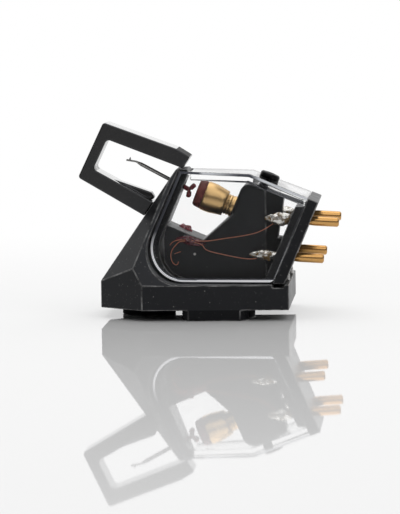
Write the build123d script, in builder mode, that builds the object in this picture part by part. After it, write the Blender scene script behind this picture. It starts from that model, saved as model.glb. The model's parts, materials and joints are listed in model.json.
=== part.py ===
"""Moving-coil phono cartridge standing on its mounting face, stylus up, in millimetres.

+X points from the stylus to the connecting pins, +Y to the far side and +Z up. The origin lies on the
mounting face, midway between the two mounting holes.
"""
from build123d import *
import math
import os

# Fits between pieces
TOUCH = 0.001
FIT_GAP = 0.03
RECESS_GAP = 0.14

# Mounting holes and the bosses round them
HOLE_PITCH = 12.7
FRONT_HOLE_X = -7.4
THREAD_R = 1.05
THREAD_DEPTH = 2.9
BOSS_HEIGHT = 1.1
BOSS_R = 3.45
FRONT_BOSS_R = 2.8

# Base plate, with its front corners cut off
BASE_THICK = 2.6
BASE_WIDTH = 17.0
BASE_FRONT = -12.1
BASE_REAR = 7.75
NOSE_FLAT = 8.8
CORNER_LENGTH = 4.6

# Nose and post: a sloped front, leaning flanks and a facet between them
RAKE = 23.0
SLOPE = 55.5
NOSE_STEP = 0.2
POST_TOP = 15.4
POST_BACK_FOOT = -7.65
POST_TOP_BEVEL = 0.35
FLANK_LEAN = 26.5
FACET_BACK = 3.63
FACET_DROP = 1.0
POCKET_R = 3.5

# Central web with the shelf and the rear lobe
WEB_HALF = 2.8
SHELF_Z = 9.55
SHELF_END_X = -1.36
LOBE_FRONT_FOOT = -1.43
LOBE_CHIN_Z = 10.26
LOBE_TOP = 13.75
LOBE_NOSE_R = 1.15
LOBE_REAR_X = 7.1
LOBE_REAR_LEAN = 9.5
LOBE_CORNER_R = 0.3
LOBE_EDGE_R = 0.3
LOBE_TAPER_X = 5.2
LOBE_TAIL_HALF = 1.7
BRIDGE_Z = 7.95

# Clear cover: side walls that lean in and flare to the rear, and a kinked top
SIDE_HALF = 7.49
SIDE_FLARE = 7.4
SIDE_LEAN = 14.8
COVER_WALL = 0.75
COVER_TOP_WALL = 0.95
COVER_LIFT = 0.1
COVER_FRONT_FOOT = -8.7
COVER_CORNER_R = 3.5
COVER_TOP_FRONT_Z = 15.2
KINK_X = 3.62
KINK_Z = 14.9
TOP_SLOPE = 22.0
COVER_EDGE = 0.3

# Terminal plate: an outer flange and an inner step
PLATE_FOOT = 6.01
FLANGE_THICK = 1.14
STEP_THICK = 0.86
STEP_TOP_Z = 11.5
PLATE_GROOVE = 0.3

# Pins and the solder on their tails
PIN_R = 0.5
PIN_TAIL_R = 0.25
PIN_TILT = 3.5
PIN_REACH = 2.95
PIN_TIP_CHAMFER = 0.15
PIN_ROOT_OUT = 0.45
PIN_TAIL_LENGTH = 1.9
UPPER_PIN_Z = 10.0
LOWER_PIN_Z = 6.3
UPPER_SOLDER_GAP = 0.19
LOWER_SOLDER_GAP = 0.12
SOLDER_SKIN = 0.13
SOLDER_BULGE = 0.32
SOLDER_CAP = 0.75

# Cover screw
SCREW_X = 5.42
SCREW_HEAD_R = 1.05
SCREW_HEAD_HEIGHT = 0.62
SCREW_SHANK_R = 0.5
SCREW_DEPTH = 2.0
SCREW_SOCKET_R = 0.5
SCREW_SOCKET_DEPTH = 0.35
SCREW_EDGE = 0.15

# Magnet and the turned barrel that carries it
BARREL_TILT = 22.0
MAGNET_X = -2.2
MAGNET_Z = 12.78
MAGNET_R = 1.52
MAGNET_FRONT_R = 1.28
MAGNET_EDGE_R = 1.44
MAGNET_BEVEL = 0.22
MAGNET_THICK = 0.88
BARREL_R = 1.58
BARREL_REAR_R = 1.34
BARREL_LENGTH = 2.42
BARREL_RIM = 0.15
BARREL_STRAIGHT = 1.0
SHANK_R = 1.12
SHANK_LENGTH = 2.8
THREAD_PITCH = 0.28
THREAD_CUT = 0.1
THREAD_TURNS = 3

# Cantilever, tip, armature and pivot
CANTILEVER_TILT = 28.5
ARMATURE_X = -2.96
ARMATURE_Z = 13.04
CANTILEVER_R = 0.195
CANTILEVER_LENGTH = 6.4
CANTILEVER_FLATTENING = 0.6
TIP_LENGTH = 1.05
TIP_WIDTH = 0.46
TIP_THICK = 0.17
TIP_TILT = 10.0
TIP_CORNER_R = 0.18
STYLUS_R = 0.09
STYLUS_POINT_R = 0.012
STYLUS_HEIGHT = 0.3
STYLUS_SHANK = 0.1
STYLUS_BACK = 0.37
HUB_R = 0.25
ARM_LENGTH = 0.98
ARM_WIDTH = 0.2
ARM_THICK = 0.24
ARM_SWEEP = 15.0
COIL_LENGTH = 0.5
COIL_R = 0.24
COIL_START = 0.4
PAD_R = 0.72
PAD_THICK = 0.42
BORE_R = 0.5

# Leads and the dabs that hold them
LEAD_R = 0.055
LEAD_SIDES = 8
GLUE_LENGTH = 2.0
GLUE_HEIGHT = 0.9
GLUE_THICK = 0.32
GLUE_TAPER = 30.0
GLUE_X = -2.5
GLUE_Z = 7.9
SHELF_GLUE_X = -3.85
SHELF_GLUE_Y = 1.2
SHELF_GLUE_R = 0.6
SHELF_GLUE_SPREAD = 0.9
SHELF_GLUE_THICK = 0.42

# Stylus guard, in its own tilted frame
GUARD_TILT = 25.5
GUARD_X = -13.19
GUARD_Z = 17.49
GUARD_HALF_WIDTH = 2.2
GUARD_WALL = 1.1
GUARD_OUTER_HALF = 3.2
GUARD_OUTER_FLARE = 5.1
GUARD_INNER_HALF = 1.72
GUARD_INNER_FLARE = 4.0
GUARD_INNER_R = 0.4
GUARD_OUTER_R = 0.35
GUARD_ARM = 8.15
GUARD_PAD = 9.8
GUARD_PAD_DROP = 0.2
GUARD_LOWER_ARM = 9.0
GUARD_GAP = 0.05
TONGUE_START = 2.9
TONGUE_END = 7.6
TONGUE_HEIGHT = 0.72
TONGUE_HALF_WIDTH = 1.0
TONGUE_NOSE = 0.5
TONGUE_SUNK = 0.1

# Room that cutting shapes reach past what they cut
REACH = 3.0


def tan(angle):
    """Tangent of an angle in degrees."""
    return math.tan(math.radians(angle))


def cos(angle):
    """Cosine of an angle in degrees."""
    return math.cos(math.radians(angle))


def sin(angle):
    """Sine of an angle in degrees."""
    return math.sin(math.radians(angle))


# Heights and lines that follow from the sizes above
BASE_TOP = BOSS_HEIGHT + BASE_THICK
BASE_HALF = BASE_WIDTH / 2
NOSE_HALF = NOSE_FLAT / 2
COVER_BOTTOM = BASE_TOP + COVER_LIFT


def raked_x(foot, height):
    """X at a height on a raked line that starts at foot on top of the base."""
    return foot + (height - BASE_TOP) * tan(RAKE)


def slope_x(height):
    """X of the sloped front of the nose at a height."""
    return BASE_FRONT + (height - BASE_TOP - NOSE_STEP) / tan(SLOPE)


def flank_half(height):
    """Half width between the leaning flanks of the nose at a height."""
    return BASE_HALF - (height - BASE_TOP) * tan(FLANK_LEAN)


def side_half(x, height):
    """Half width of the outside of the cover at a place along it and a height."""
    return SIDE_HALF + x * tan(SIDE_FLARE) - height * tan(SIDE_LEAN)


def cover_top(x):
    """Height of the outside of the cover's sloped rear top."""
    return KINK_Z - (x - KINK_X) * tan(TOP_SLOPE)


def lobe_slope(x):
    """Height of the lobe's sloped top, on which the cover seats."""
    return cover_top(x) - COVER_TOP_WALL / cos(TOP_SLOPE)


# Outline of the base plate, seen from above
BASE_OUTLINE = (
    (BASE_FRONT, -NOSE_HALF),
    (BASE_FRONT + CORNER_LENGTH, -BASE_HALF),
    (BASE_REAR, -BASE_HALF),
    (BASE_REAR, BASE_HALF),
    (BASE_FRONT + CORNER_LENGTH, BASE_HALF),
    (BASE_FRONT, NOSE_HALF),
)


def raked_top(foot):
    """Height where a raked line that starts at foot meets the sloped top of the cover."""
    level_x = foot - BASE_TOP * tan(RAKE)
    return (KINK_Z - (level_x - KINK_X) * tan(TOP_SLOPE)) / (1 + tan(RAKE) * tan(TOP_SLOPE))


PLATE_TOP_Z = raked_top(PLATE_FOOT)
COVER_REAR_FOOT = PLATE_FOOT - FIT_GAP / cos(RAKE)

# Range of the blocks that carry the side planes of the cover
BLOCK_FRONT = COVER_FRONT_FOOT
BLOCK_REAR = raked_x(PLATE_FOOT, PLATE_TOP_Z) + REACH
BLOCK_TOP = POST_TOP + REACH


def block_outline(height, inset):
    """Corners of the block between the cover's side planes, at a height."""
    front = side_half(BLOCK_FRONT, height) - inset
    rear = side_half(BLOCK_REAR, height) - inset
    return ((BLOCK_FRONT, -front), (BLOCK_REAR, -rear), (BLOCK_REAR, rear), (BLOCK_FRONT, front))


# Block inside the outside of the cover
with BuildPart() as outer_block:
    for level in (0, BLOCK_TOP):
        with BuildSketch(Plane.XY.offset(level)):
            Polygon(*block_outline(level, 0), align=None)
    loft(ruled=True)

# Block inside the cover's side walls
with BuildPart() as wall_block:
    for level in (0, BLOCK_TOP):
        with BuildSketch(Plane.XY.offset(level)):
            Polygon(*block_outline(level, COVER_WALL), align=None)
    loft(ruled=True)

# Block for what fits between the cover's side walls
with BuildPart() as inner_block:
    for level in (0, BLOCK_TOP):
        with BuildSketch(Plane.XY.offset(level)):
            Polygon(*block_outline(level, COVER_WALL + FIT_GAP), align=None)
    loft(ruled=True)

# Recess round the cover, cut into the flanks of the nose
RECESS_FOOT = COVER_FRONT_FOOT - RECESS_GAP / cos(RAKE)
with BuildPart() as recess:
    with BuildSketch(Plane.XZ) as recess_outline:
        Polygon(
            (RECESS_FOOT, BASE_TOP),
            (BASE_REAR, BASE_TOP),
            (BASE_REAR, POST_TOP + REACH),
            (raked_x(RECESS_FOOT, POST_TOP + REACH), POST_TOP + REACH),
            align=None,
        )
        fillet(recess_outline.vertices().group_by(Axis.Y)[0].sort_by(Axis.X)[0], COVER_CORNER_R)
    extrude(amount=BASE_WIDTH, both=True)
    add(inner_block.part, mode=Mode.SUBTRACT)

# Nose and post, with the facets between the front and the flanks
FACET_X = BASE_FRONT + FACET_BACK
FACET_Y = NOSE_HALF + FACET_BACK * (BASE_HALF - NOSE_HALF) / CORNER_LENGTH
FACET_LOW = Vector(FACET_X, -FACET_Y, BASE_TOP + (BASE_HALF - FACET_Y) / tan(FLANK_LEAN))
FACET_HIGH_Z = POST_TOP - FACET_DROP
FACET_HIGH = Vector(slope_x(FACET_HIGH_Z), -flank_half(FACET_HIGH_Z), FACET_HIGH_Z)
FACET_FRONT = Vector(BASE_FRONT, -NOSE_HALF, BASE_TOP + NOSE_STEP)
FACET_OUT = (FACET_LOW - FACET_FRONT).cross(FACET_HIGH - FACET_FRONT)
NEAR_FACET = Plane(origin=FACET_FRONT, z_dir=FACET_OUT)
FAR_FACET = Plane(
    origin=(FACET_FRONT.X, -FACET_FRONT.Y, FACET_FRONT.Z),
    z_dir=(FACET_OUT.X, -FACET_OUT.Y, FACET_OUT.Z),
)
SUNK = BASE_THICK / 2
with BuildPart() as nose:
    with BuildSketch(Plane.XZ) as nose_outline:
        Polygon(
            (BASE_FRONT, BASE_TOP - SUNK),
            (BASE_FRONT, BASE_TOP + NOSE_STEP),
            (slope_x(POST_TOP), POST_TOP),
            (raked_x(POST_BACK_FOOT, POST_TOP) - POST_TOP_BEVEL, POST_TOP),
            (raked_x(POST_BACK_FOOT, POST_TOP - POST_TOP_BEVEL), POST_TOP - POST_TOP_BEVEL),
            (POST_BACK_FOOT, BASE_TOP),
            (0, BASE_TOP),
            (0, BASE_TOP - SUNK),
            align=None,
        )
        corner = nose_outline.vertices().sort_by_distance((POST_BACK_FOOT, BASE_TOP, 0))[0]
        fillet(corner, POCKET_R)
    extrude(amount=BASE_HALF, both=True)
    with BuildSketch(Plane.XY):
        Polygon(*BASE_OUTLINE, align=None)
    extrude(amount=POST_TOP + REACH, mode=Mode.INTERSECT)
    with BuildSketch(Plane.YZ.offset(BASE_FRONT)):
        Polygon(
            (-BASE_HALF, 0),
            (BASE_HALF, 0),
            (BASE_HALF, BASE_TOP),
            (flank_half(POST_TOP), POST_TOP),
            (-flank_half(POST_TOP), POST_TOP),
            (-BASE_HALF, BASE_TOP),
            align=None,
        )
    extrude(amount=BASE_REAR - BASE_FRONT, mode=Mode.INTERSECT)
    split(bisect_by=NEAR_FACET, keep=Keep.BOTTOM)
    split(bisect_by=FAR_FACET, keep=Keep.BOTTOM)
    add(recess.part, mode=Mode.SUBTRACT)

# Central web, cut out under the post and round the lobe
STEP_FOOT = PLATE_FOOT - STEP_THICK / cos(RAKE)
LOBE_FLAT_END = KINK_X + (KINK_Z - COVER_TOP_WALL / cos(TOP_SLOPE) - LOBE_TOP) / tan(TOP_SLOPE)
LOBE_REAR_LOW_X = LOBE_REAR_X - (lobe_slope(LOBE_REAR_X) - BRIDGE_Z) * tan(LOBE_REAR_LEAN)
LOBE_RIM_Z = (LOBE_CHIN_Z + LOBE_TOP - LOBE_NOSE_R) / 2
WEB_FOOT_FRONT = raked_x(POST_BACK_FOOT, SHELF_Z) - POST_TOP_BEVEL
with BuildPart() as web:
    with BuildSketch(Plane.XZ) as web_outline:
        Polygon(
            (WEB_FOOT_FRONT, BASE_TOP - SUNK),
            (WEB_FOOT_FRONT, SHELF_Z),
            (raked_x(POST_BACK_FOOT, SHELF_Z), SHELF_Z),
            (SHELF_END_X, SHELF_Z - (SHELF_END_X - raked_x(POST_BACK_FOOT, SHELF_Z)) * tan(RAKE)),
            (raked_x(LOBE_FRONT_FOOT, LOBE_CHIN_Z), LOBE_CHIN_Z),
            (raked_x(LOBE_FRONT_FOOT, LOBE_TOP), LOBE_TOP),
            (LOBE_FLAT_END, LOBE_TOP),
            (LOBE_REAR_X, lobe_slope(LOBE_REAR_X)),
            (LOBE_REAR_LOW_X, BRIDGE_Z),
            (raked_x(STEP_FOOT, BRIDGE_Z), BRIDGE_Z),
            (raked_x(STEP_FOOT, BASE_TOP), BASE_TOP),
            (raked_x(STEP_FOOT, BASE_TOP), BASE_TOP - SUNK),
            align=None,
        )
        lobe_nose = (raked_x(LOBE_FRONT_FOOT, LOBE_TOP), LOBE_TOP, 0)
        fillet(web_outline.vertices().sort_by_distance(lobe_nose)[0], LOBE_NOSE_R)
        lobe_corner = (LOBE_REAR_X, lobe_slope(LOBE_REAR_X), 0)
        fillet(web_outline.vertices().sort_by_distance(lobe_corner)[0], LOBE_CORNER_R)
    extrude(amount=WEB_HALF, both=True)
    with BuildSketch(Plane.XY):
        Polygon(
            (BASE_FRONT, -WEB_HALF),
            (LOBE_TAPER_X, -WEB_HALF),
            (LOBE_REAR_X, -LOBE_TAIL_HALF),
            (LOBE_REAR_X, LOBE_TAIL_HALF),
            (LOBE_TAPER_X, WEB_HALF),
            (BASE_FRONT, WEB_HALF),
            align=None,
        )
    extrude(amount=POST_TOP, mode=Mode.INTERSECT)
    lobe_sides = web.faces().filter_by(lambda face: abs(face.normal_at().Y) > TOUCH)
    lobe_rims = [edge for face in lobe_sides for edge in face.edges() if edge.center().Z > LOBE_RIM_Z]
    fillet(lobe_rims, LOBE_EDGE_R)

# Axes of the turned and sprung pieces
BARREL_AXIS = Vector(cos(BARREL_TILT), 0, -sin(BARREL_TILT))
BARREL_PLANE = Plane(origin=(MAGNET_X, 0, MAGNET_Z), x_dir=BARREL_AXIS, z_dir=(0, -1, 0))
NEEDLE_AXIS = Vector(cos(CANTILEVER_TILT), 0, -sin(CANTILEVER_TILT))
ARMATURE = Vector(ARMATURE_X, 0, ARMATURE_Z)
NEEDLE_PLANE = Plane(origin=ARMATURE, x_dir=(0, 1, 0), z_dir=-NEEDLE_AXIS)
SCREW_PLANE = Plane(
    origin=(SCREW_X, 0, cover_top(SCREW_X)),
    x_dir=(0, 1, 0),
    z_dir=(sin(TOP_SLOPE), 0, cos(TOP_SLOPE)),
)

# Distance from the armature to the back of the post, along the cantilever
POST_FACE_DEPTH = (ARMATURE_X - raked_x(POST_BACK_FOOT, ARMATURE_Z)) / (
    cos(CANTILEVER_TILT) + sin(CANTILEVER_TILT) * tan(RAKE)
)
SHANK_START = MAGNET_THICK + BARREL_LENGTH
SHANK_END = SHANK_START + SHANK_LENGTH

# Body: one moulding
with BuildPart() as body:
    with BuildSketch(Plane.XY.offset(BOSS_HEIGHT)):
        Polygon(*BASE_OUTLINE, align=None)
    extrude(amount=BASE_THICK)
    with BuildSketch():
        with Locations((0, -HOLE_PITCH / 2), (0, HOLE_PITCH / 2)):
            Circle(BOSS_R)
        with Locations((FRONT_HOLE_X, 0)):
            Circle(FRONT_BOSS_R)
        Polygon(*BASE_OUTLINE, align=None, mode=Mode.INTERSECT)
    extrude(amount=BOSS_HEIGHT)
    add(nose.part)
    add(web.part)
    with BuildSketch():
        with Locations((0, -HOLE_PITCH / 2), (0, HOLE_PITCH / 2), (FRONT_HOLE_X, 0)):
            Circle(THREAD_R)
    extrude(amount=THREAD_DEPTH, mode=Mode.SUBTRACT)
    with BuildSketch(NEEDLE_PLANE.offset(-REACH)):
        Circle(BORE_R)
    extrude(amount=REACH + CANTILEVER_LENGTH, mode=Mode.SUBTRACT)
    with BuildSketch(NEEDLE_PLANE):
        Circle(PAD_R)
    extrude(amount=POST_FACE_DEPTH + PAD_THICK, mode=Mode.SUBTRACT)
    with BuildSketch(Plane(origin=BARREL_PLANE.origin, z_dir=BARREL_AXIS).offset(SHANK_START)):
        Circle(SHANK_R)
    extrude(amount=SHANK_LENGTH, mode=Mode.SUBTRACT)
    with BuildSketch(SCREW_PLANE):
        Circle(SCREW_SHANK_R)
    extrude(amount=-COVER_TOP_WALL - SCREW_DEPTH, mode=Mode.SUBTRACT)
    with BuildSketch(Plane.XZ):
        with Locations((PLATE_FOOT, BASE_TOP)):
            groove = (FLANGE_THICK + FIT_GAP) / cos(RAKE)
            Rectangle(groove, 2 * PLATE_GROOVE, align=(Align.MIN, Align.CENTER))
    extrude(amount=BASE_HALF, both=True, mode=Mode.SUBTRACT)

# Clear cover
with BuildPart() as cover_core:
    with BuildSketch(Plane.XZ):
        Polygon(
            (COVER_FRONT_FOOT - REACH, 0),
            (BLOCK_REAR, 0),
            (BLOCK_REAR, lobe_slope(BLOCK_REAR)),
            (KINK_X - COVER_TOP_WALL * tan(TOP_SLOPE / 2), KINK_Z - COVER_TOP_WALL),
            (raked_x(POST_BACK_FOOT, POST_TOP) + FIT_GAP, COVER_TOP_FRONT_Z - COVER_TOP_WALL),
            (raked_x(POST_BACK_FOOT, POST_TOP) + FIT_GAP, BLOCK_TOP),
            (COVER_FRONT_FOOT - REACH, BLOCK_TOP),
            align=None,
        )
    extrude(amount=BASE_WIDTH, both=True)
    add(wall_block.part, mode=Mode.INTERSECT)

with BuildPart() as clear_cover:
    with BuildSketch(Plane.XZ) as cover_outline:
        Polygon(
            (raked_x(COVER_FRONT_FOOT, COVER_BOTTOM), COVER_BOTTOM),
            (raked_x(COVER_REAR_FOOT, COVER_BOTTOM), COVER_BOTTOM),
            (raked_x(COVER_REAR_FOOT, raked_top(COVER_REAR_FOOT)), raked_top(COVER_REAR_FOOT)),
            (KINK_X, KINK_Z),
            (raked_x(COVER_FRONT_FOOT, COVER_TOP_FRONT_Z), COVER_TOP_FRONT_Z),
            align=None,
        )
        fillet(cover_outline.vertices().group_by(Axis.Y)[0].sort_by(Axis.X)[0], COVER_CORNER_R)
    extrude(amount=BASE_WIDTH, both=True)
    add(outer_block.part, mode=Mode.INTERSECT)
    add(cover_core.part, mode=Mode.SUBTRACT)
    side_faces = clear_cover.faces().sort_by(Axis.Y)
    chamfer(side_faces[0].edges() + side_faces[-1].edges(), COVER_EDGE)
    with BuildSketch(SCREW_PLANE):
        Circle(SCREW_SHANK_R)
    extrude(amount=-COVER_TOP_WALL * 2, mode=Mode.SUBTRACT)

# Screw through the cover into the lobe
with BuildPart() as cover_screw:
    with BuildSketch(SCREW_PLANE):
        Circle(SCREW_HEAD_R)
    extrude(amount=SCREW_HEAD_HEIGHT)
    chamfer(cover_screw.edges().sort_by(Axis(SCREW_PLANE.origin, SCREW_PLANE.z_dir))[-1], SCREW_EDGE)
    with BuildSketch(SCREW_PLANE.offset(SCREW_HEAD_HEIGHT)):
        RegularPolygon(SCREW_SOCKET_R, 6)
    extrude(amount=-SCREW_SOCKET_DEPTH, mode=Mode.SUBTRACT)
    with BuildSketch(SCREW_PLANE):
        Circle(SCREW_SHANK_R)
    extrude(amount=-COVER_TOP_WALL - SCREW_DEPTH)


# Pins, set in from the cover by the solder on their tails; each tapers through the plate to a thin tail
FLANGE_FOOT = PLATE_FOOT + FLANGE_THICK / cos(RAKE)
PIN_AXIS = Vector(cos(PIN_TILT), 0, -sin(PIN_TILT))
PLATE_CROSSING = (FLANGE_THICK + STEP_THICK) / cos(RAKE - PIN_TILT)
PIN_TAPER_END = PLATE_CROSSING + PIN_TAIL_R
PIN_TAIL_END = PLATE_CROSSING + PIN_TAIL_LENGTH
SOLDER_ROOT_R = PIN_TAIL_R + SOLDER_SKIN
SOLDER_R = PIN_TAIL_R + SOLDER_BULGE


def pin_across(height, gap):
    """Distance of a pin from the middle, which leaves a gap between its solder and the cover."""
    inward = PLATE_CROSSING + PIN_TAIL_LENGTH / 2
    x = raked_x(FLANGE_FOOT, height) - inward * cos(PIN_TILT)
    return side_half(x, height + inward * sin(PIN_TILT)) - COVER_WALL - SOLDER_R - gap


UPPER_ACROSS = pin_across(UPPER_PIN_Z, UPPER_SOLDER_GAP)
LOWER_ACROSS = pin_across(LOWER_PIN_Z, LOWER_SOLDER_GAP)
PINS = (
    ("upper_near", UPPER_PIN_Z, -UPPER_ACROSS),
    ("upper_far", UPPER_PIN_Z, UPPER_ACROSS),
    ("lower_near", LOWER_PIN_Z, -LOWER_ACROSS),
    ("lower_far", LOWER_PIN_Z, LOWER_ACROSS),
)


def pin_plane(height, across):
    """Plane along a pin, with its origin where the pin leaves the terminal plate."""
    return Plane(origin=(raked_x(FLANGE_FOOT, height), across, height), x_dir=PIN_AXIS, z_dir=(0, -1, 0))


pieces = {}
for pin_name, height, across in PINS:
    plane = pin_plane(height, across)
    with BuildPart() as pin:
        with BuildSketch(plane):
            Polygon(
                (-PIN_TAIL_END, 0),
                (-PIN_TAIL_END, PIN_TAIL_R),
                (-PIN_TAPER_END, PIN_TAIL_R),
                (PIN_ROOT_OUT, PIN_R),
                (PIN_REACH - PIN_TIP_CHAMFER, PIN_R),
                (PIN_REACH, PIN_R - PIN_TIP_CHAMFER),
                (PIN_REACH, 0),
                align=None,
            )
        revolve(axis=Axis(plane.origin, PIN_AXIS))
    pieces["pin_" + pin_name] = pin

# Terminal plate
with BuildPart() as plate_step:
    with BuildSketch(Plane.XZ):
        Polygon(
            (raked_x(STEP_FOOT, BASE_TOP), BASE_TOP),
            (raked_x(PLATE_FOOT, BASE_TOP), BASE_TOP),
            (raked_x(PLATE_FOOT, STEP_TOP_Z), STEP_TOP_Z),
            (raked_x(STEP_FOOT, STEP_TOP_Z), STEP_TOP_Z),
            align=None,
        )
    extrude(amount=BASE_WIDTH, both=True)
    add(inner_block.part, mode=Mode.INTERSECT)

FLANGE_TOP_Z = PLATE_TOP_Z - FLANGE_THICK * sin(RAKE)
with BuildPart() as terminal_plate:
    with BuildSketch(Plane.XZ):
        Polygon(
            (raked_x(PLATE_FOOT, BASE_TOP), BASE_TOP),
            (raked_x(FLANGE_FOOT, BASE_TOP), BASE_TOP),
            (raked_x(FLANGE_FOOT, FLANGE_TOP_Z), FLANGE_TOP_Z),
            (raked_x(PLATE_FOOT, PLATE_TOP_Z), PLATE_TOP_Z),
            align=None,
        )
    extrude(amount=BASE_WIDTH, both=True)
    add(outer_block.part, mode=Mode.INTERSECT)
    add(plate_step.part)
    for pin_name, height, across in PINS:
        add(pieces["pin_" + pin_name].part, mode=Mode.SUBTRACT)

# Magnet and barrel, turned about one axis
BARREL_LINE = Axis(BARREL_PLANE.origin, BARREL_AXIS)
with BuildPart() as magnet:
    with BuildSketch(BARREL_PLANE):
        Polygon(
            (0, 0),
            (0, MAGNET_FRONT_R),
            (MAGNET_BEVEL, MAGNET_EDGE_R),
            (MAGNET_THICK, MAGNET_R),
            (MAGNET_THICK, 0),
            align=None,
        )
    revolve(axis=BARREL_LINE)

with BuildPart() as magnet_carrier:
    with BuildSketch(BARREL_PLANE):
        with BuildLine():
            thread = []
            for turn in range(THREAD_TURNS):
                start = SHANK_START + turn * THREAD_PITCH
                thread.append((start, SHANK_R - THREAD_CUT))
                thread.append((start + THREAD_PITCH / 2, SHANK_R))
            Polyline(
                (MAGNET_THICK, 0),
                (MAGNET_THICK, MAGNET_R),
                (MAGNET_THICK + BARREL_RIM, BARREL_R),
                (MAGNET_THICK + BARREL_STRAIGHT, BARREL_R),
                (SHANK_START, BARREL_REAR_R),
                *thread,
                (SHANK_END, SHANK_R),
                (SHANK_END, 0),
                close=True,
            )
        make_face()
    revolve(axis=BARREL_LINE)

# Cantilever: a tube whose tip is flattened and bent level
TIP_AXIS = Vector(-cos(TIP_TILT), 0, sin(TIP_TILT))
TIP_UP = Vector(sin(TIP_TILT), 0, cos(TIP_TILT))
TIP_ROOT = ARMATURE - NEEDLE_AXIS * CANTILEVER_LENGTH
TIP_PLANE = Plane(origin=TIP_ROOT, x_dir=(0, 1, 0), z_dir=TIP_AXIS)
with BuildPart() as cantilever:
    with BuildSketch(NEEDLE_PLANE.offset(POST_FACE_DEPTH)):
        Circle(CANTILEVER_R)
    extrude(amount=CANTILEVER_LENGTH - CANTILEVER_FLATTENING - POST_FACE_DEPTH)
    with BuildSketch(NEEDLE_PLANE.offset(CANTILEVER_LENGTH - CANTILEVER_FLATTENING)):
        Circle(CANTILEVER_R)
    with BuildSketch(TIP_PLANE):
        Rectangle(TIP_WIDTH, TIP_THICK)
    loft()
    with BuildSketch(TIP_PLANE):
        Rectangle(TIP_WIDTH, TIP_THICK)
    extrude(amount=TIP_LENGTH)
    tip_corners = cantilever.edges().filter_by(Axis((0, 0, 0), TIP_UP)).sort_by(Axis.X)[:2]
    fillet(tip_corners, TIP_CORNER_R)

STYLUS_FOOT = TIP_ROOT + TIP_AXIS * (TIP_LENGTH - STYLUS_BACK) + TIP_UP * (TIP_THICK / 2)
with BuildPart() as stylus_tip:
    with BuildSketch(Plane(origin=STYLUS_FOOT, x_dir=TIP_AXIS, z_dir=(0, 1, 0))):
        Polygon(
            (0, 0),
            (STYLUS_R, 0),
            (STYLUS_R, STYLUS_SHANK),
            (STYLUS_POINT_R, STYLUS_HEIGHT),
            (0, STYLUS_HEIGHT),
            align=None,
        )
    revolve(axis=Axis(STYLUS_FOOT, TIP_UP))

# Armature cross with swept arms, and a winding on each arm
ACROSS = Vector(0, 1, 0)
UPRIGHT = Vector(sin(CANTILEVER_TILT), 0, cos(CANTILEVER_TILT))
ARMS = (
    ("upper_near", -1, 1),
    ("upper_far", 1, 1),
    ("lower_near", -1, -1),
    ("lower_far", 1, -1),
)


def arm_plane(side, rise):
    """Plane at the hub, looking out along one swept arm of the cross."""
    outward = (ACROSS * side + UPRIGHT * rise).normalized()
    along = outward * cos(ARM_SWEEP) + NEEDLE_AXIS * sin(ARM_SWEEP)
    return Plane(origin=ARMATURE, x_dir=ACROSS * rise - UPRIGHT * side, z_dir=along)


with BuildPart() as armature_cross:
    with BuildSketch(NEEDLE_PLANE.offset(-ARM_THICK / 2)):
        Circle(HUB_R)
    extrude(amount=POST_FACE_DEPTH + ARM_THICK / 2)
    for arm_name, side, rise in ARMS:
        with BuildSketch(arm_plane(side, rise)):
            Rectangle(ARM_WIDTH, ARM_THICK)
        extrude(amount=ARM_LENGTH)
for arm_name, side, rise in ARMS:
    with BuildPart() as coil:
        with BuildSketch(arm_plane(side, rise).offset(COIL_START)):
            Circle(COIL_R)
            Rectangle(ARM_WIDTH, ARM_THICK, mode=Mode.SUBTRACT)
        extrude(amount=COIL_LENGTH)
    pieces["coil_" + arm_name] = coil

# Rubber pad in the back of the post
with BuildPart() as pivot_pad:
    with BuildSketch(NEEDLE_PLANE.offset(POST_FACE_DEPTH)):
        Circle(PAD_R)
        Circle(CANTILEVER_R, mode=Mode.SUBTRACT)
    extrude(amount=PAD_THICK)

# Leads on the near side, from their slack loops through the dab to the solder
LEAD_ROUTES = {
    "upper": (
        (-4.89, -3.3, 7.46),
        (-4.6, -3.3, 7.85),
        (-3.75, -3.05, 8.2),
        (-1.27, -3.0, 7.83),
        (0.74, -3.3, 8.08),
        (2.98, -3.6, 8.4),
        (4.99, -3.95, 8.9),
        (6.3, -4.1, 9.88),
    ),
    "lower": (
        (-4.08, -3.4, 5.52),
        (-4.62, -3.4, 5.85),
        (-4.76, -3.4, 6.5),
        (-4.5, -3.3, 7.15),
        (-3.83, -3.05, 7.95),
        (-1.41, -3.05, 7.42),
        (-0.7, -3.2, 6.9),
        (0.4, -3.6, 6.52),
        (2.18, -4.3, 6.2),
        (3.8, -4.85, 6.02),
        (4.6, -4.95, 6.19),
    ),
}


leads = {}
for row, route in LEAD_ROUTES.items():
    for side_name, side in (("near", 1), ("far", -1)):
        points = [(x, y * side, z) for x, y, z in route]
        with BuildPart() as lead:
            with BuildLine() as path:
                Polyline(*points)
            with BuildSketch(Plane(origin=path.line @ 0, z_dir=path.line % 0)):
                RegularPolygon(LEAD_R, LEAD_SIDES)
            sweep(transition=Transition.RIGHT)
        leads[row + "_" + side_name] = lead
        pieces["lead_" + row + "_" + side_name] = lead

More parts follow.
